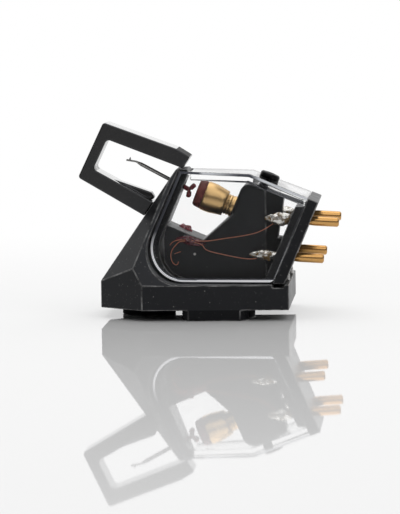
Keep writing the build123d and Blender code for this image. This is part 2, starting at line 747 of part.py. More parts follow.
# Solder on the pin tails, a leaf shape that runs from the plate round the ends of the leads
SOLDER_START = PLATE_CROSSING - SOLDER_ROOT_R * tan(RAKE - PIN_TILT)
for pin_name, height, across in PINS:
    plane = pin_plane(height, across)
    with BuildPart() as solder:
        with BuildSketch(plane):
            Polygon(
                (-SOLDER_START, 0),
                (-SOLDER_START, SOLDER_ROOT_R),
                (-PLATE_CROSSING - PIN_TAIL_LENGTH / 3, SOLDER_R),
                (-PIN_TAIL_END, SOLDER_ROOT_R),
                (-PIN_TAIL_END - SOLDER_CAP, LEAD_R),
                (-PIN_TAIL_END - SOLDER_CAP, 0),
                align=None,
            )
        revolve(axis=Axis(plane.origin, PIN_AXIS))
        add(terminal_plate.part, mode=Mode.SUBTRACT)
        add(pieces["pin_" + pin_name].part, mode=Mode.SUBTRACT)
        add(leads[pin_name].part, mode=Mode.SUBTRACT)
    pieces["solder_" + pin_name] = solder

# Dabs of glue on both sides of the web, with the leads through them
for side_name, side in (("near", -1), ("far", 1)):
    dab_place = (GLUE_X, side * WEB_HALF, GLUE_Z)
    dab_plane = Plane(origin=dab_place, x_dir=(cos(RAKE), 0, -sin(RAKE)), z_dir=(0, side, 0))
    with BuildPart() as glue:
        with BuildSketch(dab_plane):
            SlotOverall(GLUE_LENGTH + GLUE_HEIGHT, GLUE_HEIGHT)
        extrude(amount=GLUE_THICK, taper=GLUE_TAPER)
        add(leads["upper_" + side_name].part, mode=Mode.SUBTRACT)
        add(leads["lower_" + side_name].part, mode=Mode.SUBTRACT)
    pieces["glue_" + side_name] = glue

SHELF_GLUE_Z = SHELF_Z - (SHELF_GLUE_X - raked_x(POST_BACK_FOOT, SHELF_Z)) * tan(RAKE)
SHELF_PLANE = Plane(
    origin=(SHELF_GLUE_X, SHELF_GLUE_Y, SHELF_GLUE_Z),
    x_dir=(cos(RAKE), 0, -sin(RAKE)),
    z_dir=(sin(RAKE), 0, cos(RAKE)),
)
with BuildPart() as glue_shelf:
    with BuildSketch(SHELF_PLANE):
        Ellipse(SHELF_GLUE_R, SHELF_GLUE_SPREAD)
    extrude(amount=SHELF_GLUE_THICK, taper=GLUE_TAPER)

# Stylus guard
GUARD_PLANE = Plane(
    origin=(GUARD_X, 0, GUARD_Z),
    x_dir=(cos(GUARD_TILT), 0, -sin(GUARD_TILT)),
    z_dir=(0, -1, 0),
)


def guard_outer(along):
    """Half height of the guard's outside at a distance from its closed end."""
    return GUARD_OUTER_HALF + along * tan(GUARD_OUTER_FLARE)


def guard_inner(along):
    """Half height of the guard's inside at a distance from its closed end."""
    return GUARD_INNER_HALF + (along - GUARD_WALL) * tan(GUARD_INNER_FLARE)


with BuildPart() as stylus_guard:
    with BuildSketch(GUARD_PLANE) as guard_outline:
        Polygon(
            (0, -guard_outer(0)),
            (GUARD_LOWER_ARM, -guard_outer(GUARD_LOWER_ARM)),
            (GUARD_LOWER_ARM, -guard_inner(GUARD_LOWER_ARM)),
            (GUARD_WALL, -guard_inner(GUARD_WALL)),
            (GUARD_WALL, guard_inner(GUARD_WALL)),
            (GUARD_PAD - GUARD_PAD_DROP, guard_inner(GUARD_PAD)),
            (GUARD_PAD, guard_outer(GUARD_ARM) - GUARD_PAD_DROP),
            (GUARD_ARM, guard_outer(GUARD_ARM)),
            (0, guard_outer(0)),
            align=None,
        )
    extrude(amount=GUARD_HALF_WIDTH, both=True)
    upright = stylus_guard.edges().filter_by(Axis.Y)
    closed_end = upright.sort_by(Axis(GUARD_PLANE.origin, GUARD_PLANE.x_dir))
    fillet(closed_end[:2], GUARD_OUTER_R)
    upright = stylus_guard.edges().filter_by(Axis.Y)
    inner_corners = upright.sort_by_distance(GUARD_PLANE.from_local_coords((GUARD_WALL, 0, 0)))[:2]
    fillet(inner_corners, GUARD_INNER_R)
    with BuildSketch(GUARD_PLANE):
        Polygon(
            (TONGUE_START, -guard_inner(TONGUE_START) - TONGUE_SUNK),
            (TONGUE_END, -guard_inner(TONGUE_END) - TONGUE_SUNK),
            (TONGUE_END + TONGUE_NOSE, -guard_inner(TONGUE_END) + TONGUE_SUNK),
            (TONGUE_END + TONGUE_NOSE, -guard_inner(TONGUE_END) + TONGUE_HEIGHT / 2),
            (TONGUE_END, -guard_inner(TONGUE_END) + TONGUE_HEIGHT),
            align=None,
        )
    extrude(amount=TONGUE_HALF_WIDTH, both=True)
    with BuildSketch(Plane.XZ):
        Polygon(
            (slope_x(BASE_TOP) - GUARD_GAP / sin(SLOPE), BASE_TOP),
            (slope_x(FACET_HIGH_Z) - GUARD_GAP / sin(SLOPE), FACET_HIGH_Z),
            (0, FACET_HIGH_Z),
            (0, BASE_TOP),
            align=None,
        )
    extrude(amount=BASE_HALF, both=True, mode=Mode.SUBTRACT)

# One file for each piece
pieces.update(
    body=body,
    clear_cover=clear_cover,
    cover_screw=cover_screw,
    terminal_plate=terminal_plate,
    magnet=magnet,
    magnet_carrier=magnet_carrier,
    cantilever=cantilever,
    stylus_tip=stylus_tip,
    armature_cross=armature_cross,
    pivot_pad=pivot_pad,
    glue_shelf=glue_shelf,
    stylus_guard=stylus_guard,
)
os.makedirs("parts", exist_ok=True)
for piece_name, piece in pieces.items():
    piece.part.label = piece_name
    export_step(piece.part, "parts/" + piece_name + ".step")
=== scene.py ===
"""Looks of a moving-coil phono cartridge that stands on its mounting face with the stylus up.

Laid out as an add-on and run as a script: each operator finishes one piece or one group of like pieces.
"""
import json
import math

import bmesh
import bpy
from bpy.props import FloatProperty, FloatVectorProperty, IntProperty, PointerProperty
from mathutils import Matrix, Vector, noise
from mathutils.bvhtree import BVHTree


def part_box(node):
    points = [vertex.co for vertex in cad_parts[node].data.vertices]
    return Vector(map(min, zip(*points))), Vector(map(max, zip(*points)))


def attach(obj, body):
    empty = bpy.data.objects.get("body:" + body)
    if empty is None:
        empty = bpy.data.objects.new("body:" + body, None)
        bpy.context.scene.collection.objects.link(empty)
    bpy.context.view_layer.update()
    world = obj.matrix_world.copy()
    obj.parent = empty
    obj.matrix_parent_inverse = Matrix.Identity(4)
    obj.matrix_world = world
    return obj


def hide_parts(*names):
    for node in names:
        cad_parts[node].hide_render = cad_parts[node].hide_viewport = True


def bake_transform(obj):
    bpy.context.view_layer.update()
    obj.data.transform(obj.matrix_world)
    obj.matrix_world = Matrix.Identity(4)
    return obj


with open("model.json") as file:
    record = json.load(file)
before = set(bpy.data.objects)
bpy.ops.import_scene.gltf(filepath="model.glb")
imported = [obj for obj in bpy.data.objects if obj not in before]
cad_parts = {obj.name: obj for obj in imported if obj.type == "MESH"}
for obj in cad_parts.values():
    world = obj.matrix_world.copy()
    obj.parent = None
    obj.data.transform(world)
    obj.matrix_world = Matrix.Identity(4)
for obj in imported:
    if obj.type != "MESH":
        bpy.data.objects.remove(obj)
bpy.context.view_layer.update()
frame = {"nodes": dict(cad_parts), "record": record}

bl_info = {
    "name": "Phono cartridge looks",
    "version": (1, 0, 0),
    "blender": (4, 5, 0),
    "location": "View3D > Sidebar > Cartridge",
    "description": "Finishes, wiring and stage of a moving-coil phono cartridge",
    "category": "Object",
}

# One millimetre in scene units
MM = 0.001

# The four corners that pins, solder, leads and coils are named by
CORNERS = ("upper_near", "upper_far", "lower_near", "lower_far")

RECORD = frame["record"]
BODIES = RECORD["behaviour"]["bodies"]
JOINTS = {joint["name"]: joint for joint in RECORD["behaviour"]["joints"]}
MOUNTS = {mount["name"]: mount for mount in RECORD["mounts"]}


def body_of(node):
    """Name of the body that a CAD node belongs to."""
    return next(body for body, nodes in BODIES.items() if node in nodes)


def middle_of(node):
    """Middle of a CAD node's box."""
    return sum(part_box(node), Vector()) / 2


# Directions of the frame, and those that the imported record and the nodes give
ALONG = Vector((1, 0, 0))
ACROSS = Vector((0, 1, 0))
UP = Vector((0, 0, 1))
UPRIGHT = Vector(JOINTS["stylus_lateral"]["axis"]).normalized()
NEEDLE_BACK = UPRIGHT.cross(ACROSS) * -1
PIN_AXIS = Vector(MOUNTS["pin_upper_near_end"]["axis"]).normalized()
BARREL_AXIS = (middle_of("magnet_carrier") - middle_of("magnet")).normalized()


# Settings

def colour_setting(name, description, default):
    """Colour that a user can change."""
    return FloatVectorProperty(name=name, description=description, subtype="COLOR", default=default)


def length_setting(name, description, default):
    """Length that a user can change."""
    return FloatProperty(name=name, description=description, subtype="DISTANCE", default=default)


def share_setting(name, description, default):
    """Share from none to all that a user can change."""
    return FloatProperty(name=name, description=description, subtype="FACTOR", default=default, min=0, max=1)


def power_setting(name, description, default):
    """Power of a light that a user can change."""
    return FloatProperty(name=name, description=description, unit="POWER", default=default)


class MouldedSettings(bpy.types.PropertyGroup):
    """Black moulded plastic of the body, terminal plate and guard."""

    colour: colour_setting("Colour", "Colour of the moulded plastic", (0.0045, 0.0045, 0.005))
    dust_colour: colour_setting("Dust colour", "Colour of dust and scuffs", (0.6, 0.59, 0.57))
    # Grey of every rounded edge: a painted highlight, with some wear
    edge_colour: colour_setting("Edge colour", "Colour of rubbed edges", (0.2, 0.2, 0.2))
    guard_colour: colour_setting("Guard colour", "Colour of the guard", (0.017, 0.0163, 0.0155))
    roughness: share_setting("Roughness", "How dull the plastic of the body is", 0.36)
    edge_radius: length_setting("Edge radius", "Rounding of moulded edges", 0.1 * MM)


class ClearSettings(bpy.types.PropertyGroup):
    """Clear cover."""

    colour: colour_setting("Colour", "Tint of the clear plastic", (0.998, 0.999, 1.0))
    edge_radius: length_setting("Edge radius", "Rounding of polished edges", 0.05 * MM)


class MetalSettings(bpy.types.PropertyGroup):
    """Metals of the pins, barrel, solder, cantilever and screw."""

    gold: colour_setting("Gold", "Colour of the plated pins", (0.66, 0.37, 0.13))
    brass: colour_setting("Brass", "Colour of the turned barrel", (0.8, 0.53, 0.24))
    solder: colour_setting("Solder", "Colour of the solder", (0.78, 0.77, 0.73))
    flux: colour_setting("Flux", "Colour of flux left on the solder", (0.2, 0.12, 0.035))
    # Painted highlight along the cantilever's sides
    alloy: colour_setting("Alloy", "Colour of the cantilever's sides", (0.42, 0.41, 0.4))
    dark_alloy: colour_setting("Dark alloy", "Colour of the cantilever's top and base", (0.03, 0.029, 0.028))
    screw: colour_setting("Screw", "Colour of the cover's screw", (0.02, 0.02, 0.021))


class WiringSettings(bpy.types.PropertyGroup):
    """Coils, leads and the lacquer that holds them."""

    copper: colour_setting("Copper", "Colour of the enamelled wire", (0.85, 0.31, 0.19))
    disc: colour_setting("Disc", "Colour of the disc", (0.3, 0.062, 0.05))
    maroon: colour_setting("Maroon", "Colour of the cross and its coils", (0.34, 0.03, 0.042))
    lacquer: colour_setting("Lacquer", "Colour of the dabs on the leads", (0.19, 0.014, 0.032))
    pink_lacquer: colour_setting("Pink lacquer", "Colour of the dab on the shelf", (0.8, 0.15, 0.2))
    lead_radius: length_setting("Lead radius", "Radius of the fine leads", 0.048 * MM)
    turns: IntProperty(name="Turns", description="Turns of wire shown on each coil", default=9, min=2)
    wire_radius: length_setting("Wire radius", "Radius of the coil wire", 0.03 * MM)


class StageSettings(bpy.types.PropertyGroup):
    """Floor, light and camera."""

    floor_colour: colour_setting("Floor colour", "Colour of the floor", (0.97, 0.97, 0.97))
    mirror: share_setting("Mirror", "Share of the floor that mirrors", 0.55)
    softbox: power_setting("Softbox", "Power of the overhead light", 0.7)
    front_light: power_setting("Front light", "Power of the light beside the camera", 1.05)
    distance: length_setting("Distance", "From the camera to the cartridge", 0.3716)


GROUPS = {
    "moulded": MouldedSettings,
    "clear": ClearSettings,
    "metal": MetalSettings,
    "wiring": WiringSettings,
    "stage": StageSettings,
}


def settings(name):
    """One group of settings, by its short name."""
    return getattr(bpy.context.scene, "cartridge_" + name)


# Node trees

def feed(node, inputs):
    """Links each input of a node to a socket, or sets it to a plain value; a plain colour gets full alpha."""
    for label, value in inputs.items():
        target = node.inputs[label]
        if isinstance(value, bpy.types.NodeSocket):
            node.id_data.links.new(value, target)
        elif target.type == "RGBA":
            target.default_value = (*value, 1.0)
        else:
            target.default_value = value


def add_node(tree, kind, inputs=None, **attributes):
    """New node of a kind, with its attributes and inputs."""
    node = tree.nodes.new(kind)
    for name, value in attributes.items():
        setattr(node, name, value)
    feed(node, inputs or {})
    return node


def spaced(values):
    """Values by the labels of their sockets, which have spaces."""
    return {name.replace("_", " "): value for name, value in values.items()}


def object_place(tree):
    """Place on a piece, in the frame that all pieces share."""
    return add_node(tree, "ShaderNodeTexCoord").outputs["Object"]


def split_place(tree):
    """The three parts of a place on a piece."""
    return add_node(tree, "ShaderNodeSeparateXYZ", {"Vector": object_place(tree)}).outputs


def calculate(tree, operation, first, second=0.0, clamp=False):
    """Result of a sum on one or two values, each a socket or a plain number."""
    node = add_node(tree, "ShaderNodeMath", {0: first, 1: second}, operation=operation, use_clamp=clamp)
    return node.outputs[0]


def remap(tree, value, levels=(0.0, 1.0), results=(0.0, 1.0), curve="LINEAR"):
    """Value that goes from the first result to the second between two levels."""
    low, high = levels
    first, last = results
    inputs = {"Value": value, "From Min": low, "From Max": high, "To Min": first, "To Max": last}
    return add_node(tree, "ShaderNodeMapRange", inputs, interpolation_type=curve).outputs["Result"]


def blend_colour(tree, first, second, mask):
    """Colour that goes from first to second by a mask; each colour is a socket or a plain colour."""
    mix = add_node(tree, "ShaderNodeMix", {"Factor": mask, "A": first, "B": second}, data_type="RGBA")
    return mix.outputs["Result"]


def new_group(name, inputs, outputs):
    """Empty shader node group with named sockets; returns it, its starting sockets and its end node."""
    tree = bpy.data.node_groups.new(name, "ShaderNodeTree")
    for label, value in inputs.items():
        kind = "NodeSocketVector" if isinstance(value, tuple) else "NodeSocketFloat"
        tree.interface.new_socket(label, in_out="INPUT", socket_type=kind).default_value = value
    for label in outputs:
        tree.interface.new_socket(label, in_out="OUTPUT", socket_type="NodeSocketFloat")
    return tree, add_node(tree, "NodeGroupInput").outputs, add_node(tree, "NodeGroupOutput")


def surface_grain():
    """Fine grain of a surface: a height for bump and a slow change of tone."""
    tree, start, end = new_group("surface_grain", {"Scale": 4000.0, "Tone scale": 300.0}, ("Height", "Tone"))
    place = object_place(tree)
    fine = {"Vector": place, "Scale": start["Scale"], "Detail": 3.0, "Roughness": 0.6}
    slow = {"Vector": place, "Scale": start["Tone scale"], "Detail": 4.0, "Roughness": 0.65}
    height = add_node(tree, "ShaderNodeTexNoise", fine).outputs["Fac"]
    tone = add_node(tree, "ShaderNodeTexNoise", slow).outputs["Fac"]
    feed(end, {"Height": height, "Tone": tone})
    return tree


# How much brighter some specks of dust are than others
SPECK_CONTRAST = 2.5


def dust_specks():
    """Scattered specks of dust, as a mask."""
    inputs = {"Scale": 600.0, "Size": 0.12, "Share": 0.25, "Strength": 1.0}
    tree, start, end = new_group("dust_specks", inputs, ("Mask",))
    spots = {"Vector": object_place(tree), "Scale": start["Scale"], "Randomness": 1.0}
    cells = add_node(tree, "ShaderNodeTexVoronoi", spots).outputs
    chance = add_node(tree, "ShaderNodeSeparateColor", {"Color": cells["Color"]}).outputs
    chosen = calculate(tree, "LESS_THAN", chance["Red"], start["Share"])
    size = calculate(tree, "MULTIPLY", chance["Green"], start["Size"])
    near = calculate(tree, "LESS_THAN", cells["Distance"], size)
    both = calculate(tree, "MULTIPLY", chosen, near)
    bright = calculate(tree, "POWER", chance["Blue"], SPECK_CONTRAST)
    lit = calculate(tree, "MULTIPLY", both, bright)
    feed(end, {"Mask": calculate(tree, "MULTIPLY", lit, start["Strength"])})
    return tree


# How steeply a scuffed patch ends
SCUFF_STEEPNESS = 8.0


def scuff_patch():
    """Rough patch round one place, as a mask."""
    inputs = {"Centre": (0.0, 0.0, 0.0), "Radius": 0.5 * MM, "Scale": 1500.0, "Cover": 0.5}
    tree, start, end = new_group("scuff_patch", inputs, ("Mask",))
    place = object_place(tree)
    gap = add_node(tree, "ShaderNodeVectorMath", {0: place, 1: start["Centre"]}, operation="DISTANCE")
    share = calculate(tree, "DIVIDE", gap.outputs["Value"], start["Radius"])
    fade = calculate(tree, "SUBTRACT", 1.0, share, clamp=True)
    uneven = {"Vector": place, "Scale": start["Scale"], "Detail": 5.0, "Roughness": 0.7}
    rough = add_node(tree, "ShaderNodeTexNoise", uneven).outputs["Fac"]
    both = calculate(tree, "MULTIPLY", rough, fade)
    cut = calculate(tree, "SUBTRACT", both, start["Cover"])
    feed(end, {"Mask": calculate(tree, "MULTIPLY", cut, SCUFF_STEEPNESS, clamp=True)})
    return tree


def use_group(tree, maker, **values):
    """Shared group in a material, with its own values; returns its sockets."""
    node = add_node(tree, "ShaderNodeGroup", node_tree=bpy.data.node_groups.get(maker.__name__) or maker())
    feed(node, spaced(values))
    return node.outputs


def new_material(name, **inputs):
    """Material with a Principled shader whose plain sockets are set; returns it, its tree and the shader."""
    material = bpy.data.materials.new(name)
    material.use_nodes = True
    tree = material.node_tree
    shader = tree.nodes["Principled BSDF"]
    feed(shader, spaced(inputs))
    return material, tree, shader


def add_bump(tree, shader, height, strength, depth):
    """Bump from a height on the shader's normal."""
    bump = add_node(tree, "ShaderNodeBump", {"Strength": strength, "Distance": depth, "Height": height})
    feed(shader, {"Normal": bump.outputs["Normal"]})


def add_grain(tree, shader, scales, colours=None, roughness=None, bump=None):
    """Shared grain: its tone may set colour and roughness, and its height the bump; returns both."""
    fine, slow = scales
    grain = use_group(tree, surface_grain, Scale=fine, Tone_scale=slow)
    if colours:
        feed(shader, {"Base Color": blend_colour(tree, *colours, grain["Tone"])})
    if roughness:
        feed(shader, {"Roughness": remap(tree, grain["Tone"], results=roughness)})
    if bump:
        add_bump(tree, shader, grain["Height"], *bump)
    return grain


def shade(colour, level):
    """Colour at another level of brightness."""
    return tuple(level * part for part in colour)


# Materials

# Tones of the grain between which an edge goes from black to grey: a painted highlight along every rounded
# edge, with some wear
EDGE_HIGHLIGHT_TONES = (0.36, 0.66)
RUBBED_ROUGHNESS = (0.28, 0.5)


def worn_edge(name):
    """Moulded plastic painted lighter along an edge: a painted highlight, with some wear."""
    chosen = settings("moulded")
    material, tree, shader = new_material(name, IOR=1.5)
    grain = add_grain(tree, shader, scales=(2600.0, 900.0))
    highlit_and_rubbed = remap(tree, grain["Tone"], EDGE_HIGHLIGHT_TONES)
    colour = blend_colour(tree, chosen.colour, chosen.edge_colour, highlit_and_rubbed)
    roughness = remap(tree, grain["Height"], results=RUBBED_ROUGHNESS)
    feed(shader, {"Base Color": colour, "Roughness": roughness})
    return material


# Faint blue painted into the gloss on the black plastic: a painted tint of its reflections
PAINTED_REFLECTION_TINT = (0.9, 0.93, 1.0)

# Below this height the body is matte
UNDERSIDE_Z = 1.13 * MM

# How much lighter its grain is in places, how far its roughness goes down and up, and the film among its dust
LIGHTER_GRAIN = 1.9
GLOSSIER = 0.12
DULLER = 0.14
FILM_SHARE = 0.3


def moulded_plastic(name, colour, roughness, gloss_level, dustiness, coat=0.0, scuffs=()):
    """Black moulded plastic with a fine grain, dust, scuffed places and a matte underside."""
    material, tree, shader = new_material(
        name, IOR=1.5, Specular_IOR_Level=gloss_level, Specular_Tint=PAINTED_REFLECTION_TINT, Coat_Weight=coat
    )
    grain = add_grain(tree, shader, scales=(9000.0, 700.0), bump=(0.07, 0.01 * MM))
    dust = use_group(tree, dust_specks, Scale=1900.0, Size=0.13, Share=0.4, Strength=dustiness)
    film_strength = FILM_SHARE * dustiness
    marks = [use_group(tree, dust_specks, Scale=5600.0, Size=0.42, Share=0.6, Strength=film_strength)]
    for centre, radius, cover in scuffs:
        centre = [part * MM for part in centre]
        marks.append(use_group(tree, scuff_patch, Centre=centre, Radius=radius * MM, Cover=cover))
    mask = dust["Mask"]
    for mark in marks:
        mask = calculate(tree, "MAXIMUM", mask, mark["Mask"])
    base = blend_colour(tree, colour, shade(colour, LIGHTER_GRAIN), grain["Tone"])
    gloss = remap(tree, grain["Tone"], results=(roughness - GLOSSIER, roughness + DULLER))
    under = calculate(tree, "LESS_THAN", split_place(tree)["Z"], UNDERSIDE_Z)
    dusty = blend_colour(tree, base, settings("moulded").dust_colour, mask)
    feed(shader, {"Base Color": dusty, "Roughness": calculate(tree, "MAXIMUM", gloss, under)})
    return material


def clear_plastic():
    """Polished clear plastic with faint waves and specks."""
    material, tree, shader = new_material(
        "clear_cover_plastic", IOR=1.36, Transmission_Weight=1.0, Metallic=0.0, Specular_IOR_Level=0.1,
        Base_Color=settings("clear").colour,
    )
    add_grain(tree, shader, scales=(900.0, 2500.0), roughness=(0.0, 0.05), bump=(0.05, 0.01 * MM))
    return material


# Grain of the cover's edges
EDGE_SCALES = (2500.0, 900.0)

# Heights between which the cover's edge goes from painted glow to painted shade, and the strength of the
# glow, painted light that stands in for light piped through the plastic
EDGE_HEIGHTS = (6.5 * MM, 9.0 * MM)
PAINTED_EDGE_GLOW = 0.5

# How deep below the wall's face the edge has its painted glow, and from where it has painted shade
BRIGHT_DEPTH = 0.2 * MM
DIM_DEPTH = 0.26 * MM

# Colours of the painted glow on the edge, by its grain, and of its painted shade
PAINTED_GLOW_PALE = (0.8, 0.83, 0.88)
PAINTED_GLOW_WHITE = (0.98, 0.98, 0.98)
PAINTED_EDGE_SHADE = (0.05, 0.052, 0.06)


def ground_edge(wall):
    """Chamfered edge of the clear plastic, with a painted glow beside a wall and painted shade at its foot
    and up the post.
    """
    material, tree, shader = new_material(
        "clear_cover_edge", IOR=1.49, Transmission_Weight=0.0, Metallic=0.0, Emission_Strength=PAINTED_EDGE_GLOW
    )
    grain = add_grain(tree, shader, EDGE_SCALES, roughness=(0.2, 0.6))
    x, y, z = split_place(tree)
    folded = add_node(tree, "ShaderNodeCombineXYZ", {"X": x, "Y": calculate(tree, "ABSOLUTE", y), "Z": z})
    facing = {0: folded.outputs["Vector"], 1: (wall.normal.x, abs(wall.normal.y), wall.normal.z)}
    outward = add_node(tree, "ShaderNodeVectorMath", facing, operation="DOT_PRODUCT").outputs["Value"]
    surface = wall.center.dot(wall.normal)
    deep = remap(tree, outward, (surface - BRIGHT_DEPTH, surface - DIM_DEPTH))
    # Painted shade high up and deep in the wall
    dim = calculate(tree, "MAXIMUM", remap(tree, z, EDGE_HEIGHTS), deep)
    bright = blend_colour(tree, PAINTED_GLOW_PALE, PAINTED_GLOW_WHITE, grain["Tone"])
    edge = blend_colour(tree, bright, PAINTED_EDGE_SHADE, dim)
    # The colour is also emitted, so that the edge glows though it is no lamp
    feed(shader, {"Base Color": edge, "Emission Color": edge})
    return material


# Painted dark streak along the cover's top edge, standing in for dark refraction in the clear plastic: where
# it grows from the front and, past the kink, from the rear
STREAK_FRONT = (-0.4 * MM, 2.4 * MM)
STREAK_REAR = (4.6 * MM, 3.8 * MM)

# Over the black post the top edge is painted dark too, a painted reflection of the post: where this starts,
# and where it is quite dark
POST_PAINTED_DARK = (-1.3 * MM, -1.8 * MM)

# Colours of the top edge, painted light of the clear plastic, by its grain, and of the painted dark streak
ROOF_GREY = (0.5, 0.52, 0.56)
ROOF_PALE = (0.7, 0.72, 0.75)
PAINTED_STREAK_DARK = (0.06, 0.063, 0.08)


def roof_edge():
    """Rounded top edge of the clear plastic, painted light, with a painted dark streak in front of its kink
    and over the post.
    """
    material, tree, shader = new_material("clear_cover_roof_edge", Specular_IOR_Level=0.1)
    grain = add_grain(tree, shader, EDGE_SCALES, roughness=(0.3, 0.6))
    along = split_place(tree)["X"]
    streak = calculate(tree, "MINIMUM", remap(tree, along, STREAK_FRONT), remap(tree, along, STREAK_REAR))
    dark = calculate(tree, "MAXIMUM", streak, remap(tree, along, POST_PAINTED_DARK))
    light = blend_colour(tree, ROOF_GREY, ROOF_PALE, grain["Tone"])
    # Painted light of the edge, painted dark where the streak and the post are
    feed(shader, {"Base Color": blend_colour(tree, light, PAINTED_STREAK_DARK, dark)})
    return material


# Plating: how much darker it is in places, and its grain
PLATING_SHADE = 0.8
PLATING_SCALES = (3000.0, 500.0)


def plated_metal(name, colour, roughness):
    """Metal with a colour and a roughness that change slowly."""
    material, tree, shader = new_material(name, Metallic=1.0)
    colours = (colour, shade(colour, PLATING_SHADE))
    add_grain(tree, shader, PLATING_SCALES, colours, roughness, bump=(0.08, 0.01 * MM))
    return material


# Rings of the lathe tool: how fine they are along the barrel and round it, and how much darker in places
RING_SCALES = (14000.0, 6.0, 6.0)
BRASS_SHADE = 0.78
BRASS_ROUGHNESS = (0.24, 0.44)


def turned_brass():
    """Brass with the fine rings of a lathe tool across the barrel's axis."""
    brass = settings("metal").brass
    material, tree, shader = new_material("turned_brass", Metallic=1.0)
    lift = math.atan2(BARREL_AXIS.z, BARREL_AXIS.x)
    along = add_node(tree, "ShaderNodeMapping", {"Vector": object_place(tree), "Rotation": (0, lift, 0)})
    stretch = {0: along.outputs["Vector"], 1: RING_SCALES}
    stretched = add_node(tree, "ShaderNodeVectorMath", stretch, operation="MULTIPLY")
    lathe = {"Vector": stretched.outputs["Vector"], "Scale": 1.0, "Detail": 4.0}
    rings = add_node(tree, "ShaderNodeTexNoise", lathe).outputs["Fac"]
    colour = blend_colour(tree, shade(brass, BRASS_SHADE), brass, rings)
    feed(shader, {"Base Color": colour, "Roughness": remap(tree, rings, results=BRASS_ROUGHNESS)})
    add_bump(tree, shader, rings, strength=0.04, depth=0.01 * MM)
    return material


# Tones of the grain between which solder goes over to flux, and the finish of the two
FLUX_TONES = (0.47, 0.58)
FLUX_METAL = (1.0, 0.0)
FLUX_ROUGHNESS = (0.22, 0.12)


def lumpy_solder():
    """Bright solder with flux in its hollows."""
    chosen = settings("metal")
    material, tree, shader = new_material("bright_solder")
    grain = add_grain(tree, shader, scales=(5200.0, 2100.0), bump=(0.6, 0.05 * MM))
    hollow = remap(tree, grain["Tone"], FLUX_TONES)
    feed(shader, {
        "Base Color": blend_colour(tree, chosen.solder, chosen.flux, hollow),
        "Metallic": remap(tree, hollow, results=FLUX_METAL),
        "Roughness": remap(tree, hollow, results=FLUX_ROUGHNESS),
    })
    return material


# Enamel: its grain, and how far its roughness goes down and up
ENAMEL_SCALES = (3500.0, 1500.0)
ENAMEL_GLOSSIER = 0.1
ENAMEL_DULLER = 0.15


def enamel(name, colour, roughness, coat, clear=0.0, depth=0.45):
    """Glossy enamel or lacquer with an uneven film, which may be partly clear."""
    material, tree, shader = new_material(
        name, Coat_Weight=coat, Coat_Roughness=0.08, Specular_IOR_Level=0.3, Transmission_Weight=clear
    )
    colours = (shade(colour, depth), colour)
    film = (roughness - ENAMEL_GLOSSIER, roughness + ENAMEL_DULLER)
    add_grain(tree, shader, ENAMEL_SCALES, colours, film, bump=(0.3, 0.02 * MM))
    return material


# Glue: its colours, and the tones of the grain between which it goes from one to the other
GLUE_GREY = (0.2, 0.19, 0.18)
GLUE_PALE = (0.85, 0.84, 0.83)
GLUE_TONES = (0.35, 0.6)


def set_glue():
    """Pale glue, glossy and partly clear."""
    material, tree, shader = new_material("set_glue", Transmission_Weight=0.3)
    grain = add_grain(tree, shader, scales=(4500.0, 2600.0), roughness=(0.1, 0.4), bump=(0.4, 0.05 * MM))
    pale = remap(tree, grain["Tone"], GLUE_TONES)
    feed(shader, {"Base Color": blend_colour(tree, GLUE_GREY, GLUE_PALE, pale)})
    return material


# How far from its middle plane the cantilever starts to get its painted highlight, and where that highlight
# is full
PAINTED_HIGHLIGHT_SIDES = (0.13 * MM, 0.18 * MM)


def rubbed_alloy():
    """Dark metal of the cantilever, with a painted highlight along its sides."""
    chosen = settings("metal")
    material, tree, shader = new_material("cantilever_alloy", Metallic=0.6, Specular_IOR_Level=0.2)
    add_grain(tree, shader, scales=(6000.0, 2000.0), roughness=(0.3, 0.5))
    side = remap(tree, calculate(tree, "ABSOLUTE", split_place(tree)["Y"]), PAINTED_HIGHLIGHT_SIDES)
    # Painted highlight: the sides lighter than the top and base
    feed(shader, {"Base Color": blend_colour(tree, chosen.dark_alloy, chosen.alloy, side)})
    return material


# Diamond, which looks grey against the light
DIAMOND_GREY = (0.4, 0.4, 0.4)


def cut_diamond():
    """Clear polished diamond."""
    material, tree, shader = new_material(
        "cut_diamond", IOR=2.4, Transmission_Weight=0.6, Metallic=0.0, Base_Color=DIAMOND_GREY
    )
    add_grain(tree, shader, scales=(9000.0, 4000.0), roughness=(0.05, 0.2))
    return material


# Rubber, by its grain
RUBBER_COLOURS = ((0.012, 0.012, 0.012), (0.03, 0.03, 0.03))


def pad_rubber():
    """Matte black rubber."""
    material, tree, shader = new_material("pad_rubber")
    add_grain(tree, shader, scales=(7000.0, 1200.0), colours=RUBBER_COLOURS, roughness=(0.65, 0.85))
    return material


# Meshes

def keep_piece(piece, node):
    """Lets a piece stand for a CAD node, on that node's body; the node is hidden."""
    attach(piece, body_of(node))
    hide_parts(node)
    return piece


def link_mesh(name, mesh, material):
    """Object at the origin with a mesh and one material."""
    mesh.materials.clear()
    mesh.materials.append(material)
    piece = bpy.data.objects.new(name, mesh)
    bpy.context.scene.collection.objects.link(piece)
    return piece


def bake_modifiers(piece):
    """Turns a piece's modifiers into plain mesh."""
    bpy.context.view_layer.update()
    evaluated = piece.evaluated_get(bpy.context.evaluated_depsgraph_get())
    mesh = bpy.data.meshes.new_from_object(evaluated)
    piece.modifiers.clear()
    piece.data = mesh


# Angles past which an edge is sharp, past which it is rounded, and under which two facets are one face
SMOOTH_ANGLE = math.radians(32)
BEVEL_ANGLE = math.radians(24)
FLAT_ANGLE = math.radians(0.4)

# Corners of loose facets that lie closer than this are one corner
MERGE_DISTANCE = 0.0005 * MM

# Share of the edge radius past which a corner of a rounded edge is astray
STRAY_SHARE = 0.6


